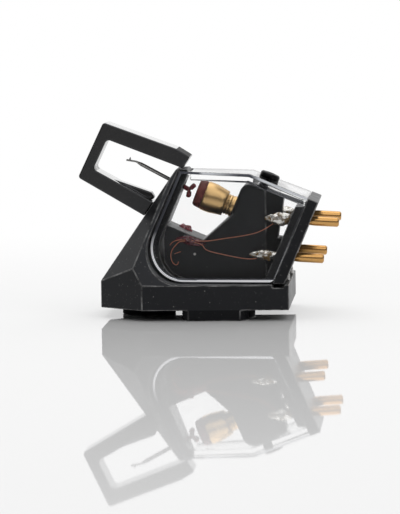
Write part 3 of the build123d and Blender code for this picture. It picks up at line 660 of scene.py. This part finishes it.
def pull_in(piece, node, solid, reach):
    """Brings corners that the rounding threw off a node's solid back to its surface and into its box."""
    low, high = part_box(node)
    surface = BVHTree.FromPolygons(
        [corner.co.copy() for corner in solid.vertices], [tuple(face.vertices) for face in solid.polygons]
    )
    for corner in piece.data.vertices:
        place, _, _, gap = surface.find_nearest(corner.co)
        spot = place if gap > reach else corner.co
        corner.co = [min(max(part, least), most) for part, least, most in zip(spot, low, high)]


def round_edges(piece, node, radius, segments, edge_material):
    """Rounds the edges of a node's copy, in a material of their own if there is one."""
    solid = piece.data
    bevel = piece.modifiers.new("Rounded edges", "BEVEL")
    bevel.width = radius
    bevel.segments = segments
    bevel.limit_method = "ANGLE"
    bevel.angle_limit = BEVEL_ANGLE
    bevel.use_clamp_overlap = False
    bevel.miter_outer = "MITER_ARC"
    if edge_material:
        solid.materials.append(edge_material)
        bevel.material = 1
    bake_modifiers(piece)
    pull_in(piece, node, solid, STRAY_SHARE * radius)
    weighted = piece.modifiers.new("Flat faces", "WEIGHTED_NORMAL")
    weighted.keep_sharp = True
    weighted.weight = 100
    bake_modifiers(piece)


def smooth_mesh(shape, mesh):
    """Puts a finished shape into a mesh, with smooth faces."""
    for face in shape.faces:
        face.smooth = True
    shape.to_mesh(mesh)
    shape.free()


def finished_copy(
    node, material, edge_radius=0.0, segments=3, edge_material=None, keep=keep_piece, reshape=None
):
    """Copy of a CAD node with merged facets, rounded edges and smooth curves, standing for that node."""
    mesh = frame["nodes"][node].data.copy()
    mesh.name = node + "_finish"
    shape = bmesh.new()
    shape.from_mesh(mesh)
    bmesh.ops.remove_doubles(shape, verts=shape.verts, dist=MERGE_DISTANCE)
    bmesh.ops.dissolve_limit(shape, angle_limit=FLAT_ANGLE, verts=shape.verts, edges=shape.edges)
    if reshape:
        reshape(shape)
    smooth_mesh(shape, mesh)
    piece = link_mesh(node + "_finish", mesh, material)
    if edge_radius:
        round_edges(piece, node, edge_radius, segments, edge_material)
    else:
        mesh.set_sharp_from_angle(angle=SMOOTH_ANGLE)
    return keep(piece, node)


def closed_mesh(name, shape):
    """Mesh of a closed shape, smooth, with its faces turned outwards."""
    bmesh.ops.recalc_face_normals(shape, faces=shape.faces)
    mesh = bpy.data.meshes.new(name)
    smooth_mesh(shape, mesh)
    return mesh


def join_rings(shape, rings):
    """Faces between rings of corners."""
    for ring, after in zip(rings, rings[1:]):
        for side in range(len(ring)):
            other = (side + 1) % len(ring)
            shape.faces.new((ring[side], after[side], after[other], ring[other]))


def unevenness(place, waves):
    """Sum of noise at a place, over waves that each have a scale and a height."""
    return sum(height * noise.noise(place * scale) for scale, height in waves)


# Dabs: corners round and rings, share of the foot that is covered, and the waves of outline and thickness
DAB_SIDES = 48
DAB_RINGS = 14
DAB_REACH = 0.92
DAB_OUTLINE = ((1500, 0.3),)
DAB_LUMPS = ((1900, 0.9), (4500, 0.5))


def dab_mesh(name, foot, along, outward, half_sizes):
    """Uneven dome on a flat face, with its foot at a place."""
    length, width, thick = half_sizes
    across = outward.cross(along)
    shape = bmesh.new()
    rings = []
    for step in range(1, DAB_RINGS + 1):
        share = step / DAB_RINGS
        ring = []
        for side in range(DAB_SIDES):
            turn = 2 * math.pi * side / DAB_SIDES
            edge = foot + (along * math.cos(turn) * length + across * math.sin(turn) * width) * MM
            reach = share * (DAB_REACH + unevenness(edge, DAB_OUTLINE))
            spot = foot + (edge - foot) * reach
            rise = thick * math.sqrt(1 - share * share) * (1 + unevenness(spot, DAB_LUMPS))
            ring.append(shape.verts.new(spot + outward * (rise * MM)))
        rings.append(ring)
    crown = shape.verts.new(foot + outward * (thick * MM))
    for side in range(DAB_SIDES):
        shape.faces.new((crown, rings[0][side], rings[0][(side + 1) % DAB_SIDES]))
    join_rings(shape, rings)
    shape.faces.new(rings[-1])
    return closed_mesh(name, shape)


# Body: gloss level, dustiness, and scuffed places by centre and radius in millimetres and what stays bare
BODY_GLOSS = 0.35
BODY_DUST = 0.4
BODY_SCUFFS = (
    ((7.7, 8.3, 3.4), 0.9, 0.26),
    ((-4.1, -2.5, 15.4), 0.5, 0.3),
    ((-3.9, -8.2, 3.8), 0.25, 0.12),
    ((-2.29, -2.8, 6.46), 0.22, 0.12),
)


class CARTRIDGE_OT_body(bpy.types.Operator):
    """Finish the moulded body and the terminal plate"""

    bl_idname = "cartridge.body"
    bl_label = "Body and terminal plate"

    def execute(self, context):
        chosen = settings("moulded")
        plastic = moulded_plastic(
            "black_moulding", chosen.colour, chosen.roughness, BODY_GLOSS, BODY_DUST, scuffs=BODY_SCUFFS
        )
        # Every rounded edge gets a painted highlight, with some wear
        highlit_and_rubbed = worn_edge("rubbed_moulding")
        for node in ("body", "terminal_plate"):
            finished_copy(node, plastic, chosen.edge_radius, edge_material=highlit_and_rubbed)
        return {"FINISHED"}


# The guard's edges are rounder than those of the body, and it is glossier
GUARD_SOFTNESS = 1.6
GUARD_ROUGHNESS = 0.12
GUARD_GLOSS = 0.5
GUARD_DUST = 0.08

# Tops of its arms, polished along the arm and dull at the flared end: name, how far such a face looks up
# at least and at most, from which X in millimetres, roughness, gloss level and weight of a coat
GUARD_TOPS = (
    ("guard_polished", 0.865, 1.1, -20.0, 0.12, 0.5, 1.0),
    ("guard_dull", 0.6, 0.865, -5.0, 0.6, 0.2, 0.0),
)


class CARTRIDGE_OT_guard(bpy.types.Operator):
    """Finish the slip-on stylus guard"""

    bl_idname = "cartridge.guard"
    bl_label = "Stylus guard"

    def execute(self, context):
        chosen = settings("moulded")
        colour = chosen.guard_colour
        plastic = moulded_plastic("guard_moulding", colour, GUARD_ROUGHNESS, GUARD_GLOSS, GUARD_DUST)
        guard = finished_copy("stylus_guard", plastic, GUARD_SOFTNESS * chosen.edge_radius)
        for name, least, most, start, roughness, gloss_level, coat in GUARD_TOPS:
            top = moulded_plastic(name, colour, roughness, gloss_level, GUARD_DUST, coat)
            guard.data.materials.append(top)
            for face in guard.data.polygons:
                if least < face.normal.z <= most and face.center.x > start * MM:
                    face.material_index = len(guard.data.materials) - 1
        return {"FINISHED"}


# Range of how far the faces of the cover's chamfered edges turn to the side
CHAMFER_TURN = (0.35, 0.9)

# Long top edges of the cover: how steep wall and roof are, how long the edge is at least and how round
WALL_Y = 0.8
ROOF_Z = 0.8
ROOF_LENGTH = 2.0 * MM
ROOF_ROUND = 0.4 * MM

# Height above which the cover's edge belongs to its roof, and how far such a face looks up and ahead
ROOF_LEVEL = 11.0 * MM
ROOF_RISE = 0.3
ROOF_FRONT = -0.3


def round_roof(shape):
    """Rounds the outer edges between the cover's roof and its walls."""
    edges = []
    for edge in shape.edges:
        if edge.is_convex and edge.calc_length() > ROOF_LENGTH:
            across = max(abs(face.normal.y) for face in edge.link_faces)
            upward = max(face.normal.z for face in edge.link_faces)
            if across > WALL_Y and upward > ROOF_Z:
                edges.append(edge)
    bmesh.ops.bevel(shape, geom=edges, offset=ROOF_ROUND, segments=4, profile=0.5, affect="EDGES")


def on_roof(face):
    """Whether a face of the cover's edges is on one of the long top edges."""
    return face.center.z > ROOF_LEVEL and face.normal.z > ROOF_RISE and face.normal.x > ROOF_FRONT


class CARTRIDGE_OT_cover(bpy.types.Operator):
    """Finish the clear cover and its screw"""

    bl_idname = "cartridge.cover"
    bl_label = "Clear cover"

    def execute(self, context):
        cover = finished_copy(
            "clear_cover", clear_plastic(), settings("clear").edge_radius, segments=2, reshape=round_roof
        )
        least, most = CHAMFER_TURN
        walls = [face for face in cover.data.polygons if face.normal.y < -most]
        # The chamfered edges get a painted glow and painted shade, the long top edges a painted dark streak
        cover.data.materials.append(ground_edge(max(walls, key=lambda face: face.area)))
        cover.data.materials.append(roof_edge())
        for face in cover.data.polygons:
            if least < abs(face.normal.y) < most:
                face.material_index = 2 if on_roof(face) else 1
        black = plated_metal("black_screw", settings("metal").screw, roughness=(0.25, 0.45))
        finished_copy("cover_screw", black, edge_radius=0.05 * MM, segments=2)
        return {"FINISHED"}


# Lumps of clear glue behind the foot of the terminal plate: place and half sizes in millimetres
PLATE_GLUE = (
    ((7.36, -3.0, 3.7), (0.36, 0.9, 0.85)),
    ((7.42, 4.7, 3.7), (0.36, 1.0, 0.9)),
)


class CARTRIDGE_OT_plate_glue(bpy.types.Operator):
    """Make the lumps of clear glue behind the terminal plate"""

    bl_idname = "cartridge.plate_glue"
    bl_label = "Plate glue"

    def execute(self, context):
        glue = set_glue()
        for number, (place, half_sizes) in enumerate(PLATE_GLUE):
            name = "plate_glue_" + str(number)
            mesh = dab_mesh(name, Vector(place) * MM, ALONG, UP, half_sizes)
            piece = link_mesh(name, mesh, glue)
            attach(piece, body_of("terminal_plate"))
        return {"FINISHED"}


class CARTRIDGE_OT_pins(bpy.types.Operator):
    """Finish the gold pins"""

    bl_idname = "cartridge.pins"
    bl_label = "Pins"

    def execute(self, context):
        gold = plated_metal("gold_plating", settings("metal").gold, roughness=(0.12, 0.3))
        for corner in CORNERS:
            finished_copy("pin_" + corner, gold, edge_radius=0.04 * MM, segments=2)
        return {"FINISHED"}


# How much taller the solder is than wide, on each row
SOLDER_RISE = {"upper": 1.3, "lower": 1.1}

# Solder: share of its length from the plate, and radius in millimetres
SOLDER_OUTLINE = (
    (0.0, 0.36), (0.12, 0.42), (0.3, 0.53), (0.5, 0.52), (0.68, 0.42), (0.85, 0.28), (1.0, 0.1)
)

# Corners round it and rings along it, and the waves of its lumps in millimetres
SOLDER_SIDES = 28
SOLDER_RINGS = 30
SOLDER_LUMPS = ((2200, 0.1), (6500, 0.04))


def outline_radius(share):
    """Radius of the solder at a share of its length."""
    for (low, first), (high, second) in zip(SOLDER_OUTLINE, SOLDER_OUTLINE[1:]):
        if share <= high:
            return first + (second - first) * (share - low) / (high - low)


def solder_mesh(corner):
    """Leaf-shaped lump round a pin tail, uneven all over."""
    low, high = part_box("solder_" + corner)
    on_axis = Vector(MOUNTS["pin_" + corner + "_end"]["pos_m"])
    root = on_axis - PIN_AXIS * ((on_axis.x - high.x) / PIN_AXIS.x)
    length = (high.x - low.x) / PIN_AXIS.x
    upward = ACROSS.cross(PIN_AXIS) * -SOLDER_RISE[corner.split("_")[0]]
    shape = bmesh.new()
    rings = []
    for step in range(SOLDER_RINGS + 1):
        share = step / SOLDER_RINGS
        middle = root - PIN_AXIS * (length * share)
        ring = []
        for side in range(SOLDER_SIDES):
            turn = 2 * math.pi * side / SOLDER_SIDES
            out = ACROSS * math.cos(turn) + upward * math.sin(turn)
            spot = middle + out * (outline_radius(share) * MM)
            ring.append(shape.verts.new(spot + out * (unevenness(spot, SOLDER_LUMPS) * MM)))
        rings.append(ring)
    join_rings(shape, rings)
    shape.faces.new(rings[0])
    shape.faces.new(rings[-1])
    return closed_mesh("solder_lump_" + corner, shape)


class CARTRIDGE_OT_solder(bpy.types.Operator):
    """Make the lumpy solder on the pin tails"""

    bl_idname = "cartridge.solder"
    bl_label = "Solder"

    def execute(self, context):
        material = lumpy_solder()
        for corner in CORNERS:
            piece = link_mesh("solder_lump_" + corner, solder_mesh(corner), material)
            keep_piece(piece, "solder_" + corner)
        return {"FINISHED"}


# Angle by which the arms of the cross are swept towards the disc, and how each arm points across and up
ARM_SWEEP = math.radians(15)
ARM_SIGNS = {"upper_near": (-1, 1), "upper_far": (1, 1), "lower_near": (-1, -1), "lower_far": (1, -1)}

# Size of each coil, and facets of each turn round the arm and round the wire
COIL_LENGTH = 0.5 * MM
COIL_RADIUS = 0.24 * MM
TURN_FACETS = 28
WIRE_FACETS = 8

# Inputs of the winding and their kinds
WINDING_INPUTS = {
    "Turns": "NodeSocketInt",
    "Length": "NodeSocketFloat",
    "Radius": "NodeSocketFloat",
    "Wire radius": "NodeSocketFloat",
}


def winding_tree(material):
    """Geometry nodes that stack turns of wire along Z, centred on the origin, and its inputs' identifiers."""
    tree = bpy.data.node_groups.new("coil_winding", "GeometryNodeTree")
    tree.interface.new_socket("Geometry", in_out="OUTPUT", socket_type="NodeSocketGeometry")
    sockets = {}
    for label, kind in WINDING_INPUTS.items():
        sockets[label] = tree.interface.new_socket(label, in_out="INPUT", socket_type=kind).identifier
    start = add_node(tree, "NodeGroupInput").outputs
    ends = []
    for share in (-0.5, 0.5):
        level = calculate(tree, "MULTIPLY", start["Length"], share)
        ends.append(add_node(tree, "ShaderNodeCombineXYZ", {"Z": level}).outputs["Vector"])
    row = {"Count": start["Turns"], "Start Location": ends[0], "Offset": ends[1]}
    line = add_node(tree, "GeometryNodeMeshLine", row, mode="END_POINTS").outputs["Mesh"]
    circles = []
    for facets, label in ((TURN_FACETS, "Radius"), (WIRE_FACETS, "Wire radius")):
        circle = {"Resolution": facets, "Radius": start[label]}
        circles.append(add_node(tree, "GeometryNodeCurvePrimitiveCircle", circle).outputs["Curve"])
    wire = {"Curve": circles[0], "Profile Curve": circles[1]}
    turn = add_node(tree, "GeometryNodeCurveToMesh", wire).outputs["Mesh"]
    copies = add_node(tree, "GeometryNodeInstanceOnPoints", {"Points": line, "Instance": turn})
    real = add_node(tree, "GeometryNodeRealizeInstances", {"Geometry": copies.outputs["Instances"]})
    coated = {"Geometry": real.outputs["Geometry"], "Material": material}
    finish = add_node(tree, "GeometryNodeSetMaterial", coated)
    add_node(tree, "NodeGroupOutput", {"Geometry": finish.outputs["Geometry"]})
    return tree, sockets


def wind_coils():
    """Turns of enamelled wire in place of the plain coils."""
    chosen = settings("wiring")
    coating = enamel("coil_enamel", chosen.maroon, roughness=0.25, coat=0.5)
    tree, sockets = winding_tree(coating)
    sizes = {
        "Turns": chosen.turns,
        "Length": COIL_LENGTH - 2 * chosen.wire_radius,
        "Radius": COIL_RADIUS - chosen.wire_radius,
        "Wire radius": chosen.wire_radius,
    }
    for corner, (side, rise) in ARM_SIGNS.items():
        out = (ACROSS * side + UPRIGHT * rise).normalized()
        along = out * math.cos(ARM_SWEEP) + NEEDLE_BACK * math.sin(ARM_SWEEP)
        name = "coil_turns_" + corner
        piece = link_mesh(name, bpy.data.meshes.new(name), coating)
        winding = piece.modifiers.new("Winding", "NODES")
        winding.node_group = tree
        for label, size in sizes.items():
            winding[sockets[label]] = size
        bake_modifiers(piece)
        turn = UP.rotation_difference(along).to_matrix().to_4x4()
        piece.data.transform(Matrix.Translation(middle_of("coil_" + corner)) @ turn)
        keep_piece(piece, "coil_" + corner)


class CARTRIDGE_OT_generator(bpy.types.Operator):
    """Finish the disc, barrel and armature cross, and wind the coils"""

    bl_idname = "cartridge.generator"
    bl_label = "Generator"

    def execute(self, context):
        chosen = settings("wiring")
        disc = enamel("disc_enamel", chosen.disc, roughness=0.45, coat=0.0, depth=0.15)
        maroon = enamel("maroon_enamel", chosen.maroon, roughness=0.3, coat=0.15)
        finished_copy("magnet", disc, edge_radius=0.04 * MM, segments=2)
        finished_copy("magnet_carrier", turned_brass(), edge_radius=0.02 * MM, segments=1)
        finished_copy("armature_cross", maroon, edge_radius=0.03 * MM, segments=2)
        wind_coils()
        return {"FINISHED"}


def bend_pad(piece, node):
    """Bakes the pad's place into its mesh and hides its CAD node; the pad is put on no body and does not
    bend.
    """
    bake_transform(piece)
    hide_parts(node)
    return piece


class CARTRIDGE_OT_needle(bpy.types.Operator):
    """Finish the cantilever, its diamond and the pivot pad"""

    bl_idname = "cartridge.needle"
    bl_label = "Needle"

    def execute(self, context):
        finished_copy("cantilever", rubbed_alloy(), edge_radius=0.02 * MM, segments=2)
        finished_copy("stylus_tip", cut_diamond())
        finished_copy("pivot_pad", pad_rubber(), edge_radius=0.03 * MM, segments=2, keep=bend_pad)
        return {"FINISHED"}


# Routes of the near leads, in millimetres, from the slack loops to the solder
LEAD_ROUTES = {
    "upper": (
        (-4.84, -3.3, 7.44), (-4.66, -3.3, 7.8), (-3.75, -3.05, 8.05), (-1.27, -3.0, 7.75),
        (0.74, -3.3, 8.1), (2.98, -3.6, 8.4), (4.99, -3.95, 8.9), (6.3, -4.1, 9.88),
    ),
    "lower": (
        (-3.97, -3.2, 5.72), (-4.04, -3.2, 5.3), (-4.55, -3.35, 5.5), (-4.8, -3.4, 6.25),
        (-4.66, -3.4, 6.95), (-4.2, -3.3, 7.5), (-3.7, -3.05, 7.95), (-1.5, -3.05, 7.6),
        (-1.2, -3.15, 6.95), (-0.4, -3.45, 6.7), (0.6, -3.7, 6.5), (2.18, -4.3, 6.2),
        (3.8, -4.85, 6.02), (4.6, -4.95, 6.19),
    ),
}

# Cut end of wire that lies on the near side of the web, in millimetres
LOOSE_END = ((-4.4, -2.83, 6.5), (-4.15, -2.95, 6.62), (-3.75, -2.83, 6.72))

# Dabs: the shelf's upright, the line of the web, and half length, half width and thickness in millimetres
SHELF_RAKE = math.radians(23.0)
UPRIGHT_SHELF = Vector((math.sin(SHELF_RAKE), 0, math.cos(SHELF_RAKE)))
WEB_DROP = math.radians(12.0)
WEB_LINE = Vector((math.cos(WEB_DROP), 0, -math.sin(WEB_DROP)))
WEB_DAB = (1.8, 0.55, 0.5)
SHELF_DAB = (0.9, 0.9, 0.42)

# How far the set dabs have run from where they were put, in millimetres
WEB_SLIDE = Vector((-0.2, 0, -0.1))
SHELF_SLIDE = Vector((0.5, 0, -0.21))


def wire_mesh(name, points, radius):
    """Smooth round wire with the points as the control points of its curve."""
    curve = bpy.data.curves.new(name, "CURVE")
    curve.dimensions = "3D"
    curve.bevel_depth = radius
    curve.bevel_resolution = 3
    curve.use_fill_caps = True
    spline = curve.splines.new("NURBS")
    spline.points.add(len(points) - 1)
    for place, point in zip(spline.points, points):
        place.co = (*point, 1)
    spline.order_u = 3
    spline.use_endpoint_u = True
    spline.resolution_u = 6
    holder = bpy.data.objects.new(name + "_path", curve)
    mesh = bpy.data.meshes.new_from_object(holder)
    bpy.data.objects.remove(holder)
    bpy.data.curves.remove(curve)
    mesh.shade_smooth()
    return mesh


class CARTRIDGE_OT_leads(bpy.types.Operator):
    """Finish the fine leads and the dabs of lacquer on them"""

    bl_idname = "cartridge.leads"
    bl_label = "Leads"

    def execute(self, context):
        chosen = settings("wiring")
        copper = enamel("lead_enamel", chosen.copper, roughness=0.3, coat=0.3)
        for row, route in LEAD_ROUTES.items():
            for side_name, side in (("near", 1), ("far", -1)):
                corner = row + "_" + side_name
                points = [Vector((x, y * side, z)) * MM for x, y, z in route]
                mesh = wire_mesh("lead_wire_" + corner, points, chosen.lead_radius)
                keep_piece(link_mesh("lead_wire_" + corner, mesh, copper), "lead_" + corner)
        points = [Vector(point) * MM for point in LOOSE_END]
        loose = link_mesh("loose_wire_end", wire_mesh("loose_wire_end", points, chosen.lead_radius), copper)
        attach(loose, body_of("lead_lower_near"))
        lacquer = enamel("lead_lacquer", chosen.lacquer, roughness=0.16, coat=1.0, depth=0.2)
        pink = enamel("shelf_lacquer", chosen.pink_lacquer, roughness=0.25, coat=0.4, clear=0.15)
        shelf_line = UPRIGHT_SHELF.cross(ACROSS) * -1
        for node, outward, along, material, half_sizes, slide in (
            ("glue_near", ACROSS * -1, WEB_LINE, lacquer, WEB_DAB, WEB_SLIDE),
            ("glue_far", ACROSS, WEB_LINE, lacquer, WEB_DAB, WEB_SLIDE),
            ("glue_shelf", UPRIGHT_SHELF, shelf_line, pink, SHELF_DAB, SHELF_SLIDE),
        ):
            foot = middle_of(node) - outward * (half_sizes[2] / 2 * MM) + slide * MM
            mesh = dab_mesh(node + "_lump", foot, along, outward, half_sizes)
            keep_piece(link_mesh(node + "_lump", mesh, material), node)
        return {"FINISHED"}


# White of the world, of the floor's mirror and of the far floor
WHITE = (1.0, 1.0, 1.0)

# Camera: where it looks, how it stands to the cartridge, and its focal length and picture in pixels
VIEW_TARGET = Vector((-2.0, 0.38, 5.9)) * MM
VIEW_AZIMUTH = math.radians(4.0)
VIEW_DROP = math.radians(5.0)
VIEW_ROLL = math.radians(0.78)
FOCAL_PIXELS = 3515.0
PICTURE_HEIGHT = 514.0
SENSOR = 36.0

# Floor: its half width, how far it goes back, and between which places it fades to white, in metres
FLOOR_HALF = 2.0
FLOOR_REAR = 0.6
FADE = (0.02, 0.11)

# How flat the floor is seen where it mirrors least and most, and how much it mirrors at least
FLATNESS = (0.36, 0.56)
LEAST_MIRROR = 0.17

# World: between which directions it goes from dim to bright behind and above, and how bright
BEHIND = (0.1, 0.75)
BEHIND_LIGHT = (0.1, 1.0)
ABOVE = (0.15, 0.85)
ABOVE_LIGHT = (0.1, 0.4)

# Soft lights: name, the setting of its power, place, and size, in metres; and where both look
LAMPS = (
    ("softbox_above", "softbox", (-0.02, 0.1, 0.45), (0.4, 0.4)),
    ("softbox_front", "front_light", (0.2, -0.33, 0.42), (0.7, 0.5)),
)
LAMP_TARGET = Vector((0, 0, 0.01))


def make_floor():
    """Glossy pale floor, which mirrors more where it is seen flatter, and is white far behind."""
    chosen = settings("stage")
    material = bpy.data.materials.new("glossy_floor")
    material.use_nodes = True
    tree = material.node_tree
    tree.nodes.clear()
    matte = add_node(tree, "ShaderNodeBsdfDiffuse", {"Color": chosen.floor_colour})
    mirror = add_node(tree, "ShaderNodeBsdfGlossy", {"Color": WHITE, "Roughness": 0.02})
    flat = add_node(tree, "ShaderNodeFresnel", {"IOR": 1.5}).outputs["Fac"]
    share = remap(tree, flat, FLATNESS, (LEAST_MIRROR, chosen.mirror))
    floor = add_node(tree, "ShaderNodeMixShader", {"Fac": share, 1: matte.outputs[0], 2: mirror.outputs[0]})
    far = remap(tree, split_place(tree)["Y"], FADE, curve="SMOOTHSTEP")
    white = add_node(tree, "ShaderNodeEmission", {"Color": WHITE, "Strength": 1.0})
    fade = add_node(tree, "ShaderNodeMixShader", {"Fac": far, 1: floor.outputs[0], 2: white.outputs[0]})
    add_node(tree, "ShaderNodeOutputMaterial", {"Surface": fade.outputs[0]})
    front = ((-FLOOR_HALF, -FLOOR_HALF, 0), (FLOOR_HALF, -FLOOR_HALF, 0))
    rear = ((FLOOR_HALF, FLOOR_REAR, 0), (-FLOOR_HALF, FLOOR_REAR, 0))
    mesh = bpy.data.meshes.new("floor")
    mesh.from_pydata(front + rear, [], [(0, 1, 2, 3)])
    link_mesh("floor", mesh, material)


def add_lamp(scene, name, place, size, power):
    """Rectangular soft light that looks at the cartridge."""
    lamp = bpy.data.lights.new(name, "AREA")
    lamp.shape = "RECTANGLE"
    lamp.size, lamp.size_y = size
    lamp.energy = power
    holder = bpy.data.objects.new(name, lamp)
    holder.location = place
    holder.rotation_euler = (LAMP_TARGET - Vector(place)).to_track_quat("-Z", "Y").to_euler()
    scene.collection.objects.link(holder)


def make_light(scene):
    """World that is bright behind and dim at the front and sides, with soft lights above and in front."""
    world = bpy.data.worlds.new("studio")
    scene.world = world
    world.use_nodes = True
    tree = world.node_tree
    tree.nodes.clear()
    place = add_node(tree, "ShaderNodeTexCoord").outputs["Generated"]
    split = add_node(tree, "ShaderNodeSeparateXYZ", {"Vector": place}).outputs
    behind = remap(tree, split["Y"], BEHIND, BEHIND_LIGHT, curve="SMOOTHSTEP")
    above = remap(tree, split["Z"], ABOVE, ABOVE_LIGHT, curve="SMOOTHSTEP")
    both = calculate(tree, "MAXIMUM", behind, above)
    camera = add_node(tree, "ShaderNodeLightPath").outputs["Is Camera Ray"]
    seen = add_node(tree, "ShaderNodeMix", {"Factor": camera, "A": both, "B": 1.0}, data_type="FLOAT")
    light = add_node(tree, "ShaderNodeBackground", {"Color": WHITE, "Strength": seen.outputs["Result"]})
    add_node(tree, "ShaderNodeOutputWorld", {"Surface": light.outputs[0]})
    for name, power, place, size in LAMPS:
        add_lamp(scene, name, place, size, getattr(settings("stage"), power))


def make_camera(scene):
    """Camera at the photograph's place."""
    level = math.cos(VIEW_DROP)
    forward = Vector((-math.sin(VIEW_AZIMUTH) * level, math.cos(VIEW_AZIMUTH) * level, -math.sin(VIEW_DROP)))
    right = Vector((math.cos(VIEW_AZIMUTH), math.sin(VIEW_AZIMUTH), 0))
    up = right.cross(forward)
    rolled_right = right * math.cos(VIEW_ROLL) - up * math.sin(VIEW_ROLL)
    rolled_up = right * math.sin(VIEW_ROLL) + up * math.cos(VIEW_ROLL)
    place = VIEW_TARGET - forward * settings("stage").distance
    lens = bpy.data.cameras.new("camera")
    lens.sensor_fit = "AUTO"
    lens.sensor_width = SENSOR
    lens.lens = SENSOR * FOCAL_PIXELS / PICTURE_HEIGHT
    lens.clip_start = 0.01
    lens.clip_end = 20.0
    lens.dof.use_dof = False
    camera = bpy.data.objects.new("camera", lens)
    turn = Matrix((rolled_right, rolled_up, -forward)).transposed().to_4x4()
    camera.matrix_world = Matrix.Translation(place) @ turn
    scene.collection.objects.link(camera)
    scene.camera = camera
    scene.view_settings.view_transform = "Standard"


class CARTRIDGE_OT_stage(bpy.types.Operator):
    """Set up the floor, the light and the camera"""

    bl_idname = "cartridge.stage"
    bl_label = "Stage"

    def execute(self, context):
        make_floor()
        make_light(context.scene)
        make_camera(context.scene)
        return {"FINISHED"}


class CARTRIDGE_PT_panel(bpy.types.Panel):
    """Settings and steps of the cartridge"""

    bl_idname = "CARTRIDGE_PT_panel"
    bl_label = "Phono cartridge"
    bl_space_type = "VIEW_3D"
    bl_region_type = "UI"
    bl_category = "Cartridge"

    def draw(self, context):
        for name, group in GROUPS.items():
            box = self.layout.box()
            box.label(text=name.capitalize())
            for field in group.__annotations__:
                box.prop(settings(name), field)
        for step in STEPS:
            self.layout.operator(step.bl_idname)


STEPS = (
    CARTRIDGE_OT_body,
    CARTRIDGE_OT_guard,
    CARTRIDGE_OT_cover,
    CARTRIDGE_OT_plate_glue,
    CARTRIDGE_OT_pins,
    CARTRIDGE_OT_solder,
    CARTRIDGE_OT_generator,
    CARTRIDGE_OT_needle,
    CARTRIDGE_OT_leads,
    CARTRIDGE_OT_stage,
)


def register():
    """Adds the classes and the settings."""
    for name, group in GROUPS.items():
        bpy.utils.register_class(group)
        setattr(bpy.types.Scene, "cartridge_" + name, PointerProperty(type=group))
    for step in STEPS:
        bpy.utils.register_class(step)
    bpy.utils.register_class(CARTRIDGE_PT_panel)


def unregister():
    """Takes the classes and the settings away again."""
    bpy.utils.unregister_class(CARTRIDGE_PT_panel)
    for step in reversed(STEPS):
        bpy.utils.unregister_class(step)
    for name, group in GROUPS.items():
        delattr(bpy.types.Scene, "cartridge_" + name)
        bpy.utils.unregister_class(group)


def main():
    """Makes every piece in order."""
    register()
    bpy.ops.cartridge.body()
    bpy.ops.cartridge.guard()
    bpy.ops.cartridge.cover()
    bpy.ops.cartridge.plate_glue()
    bpy.ops.cartridge.pins()
    bpy.ops.cartridge.solder()
    bpy.ops.cartridge.generator()
    bpy.ops.cartridge.needle()
    bpy.ops.cartridge.leads()
    bpy.ops.cartridge.stage()


if __name__ == "__main__":
    main()
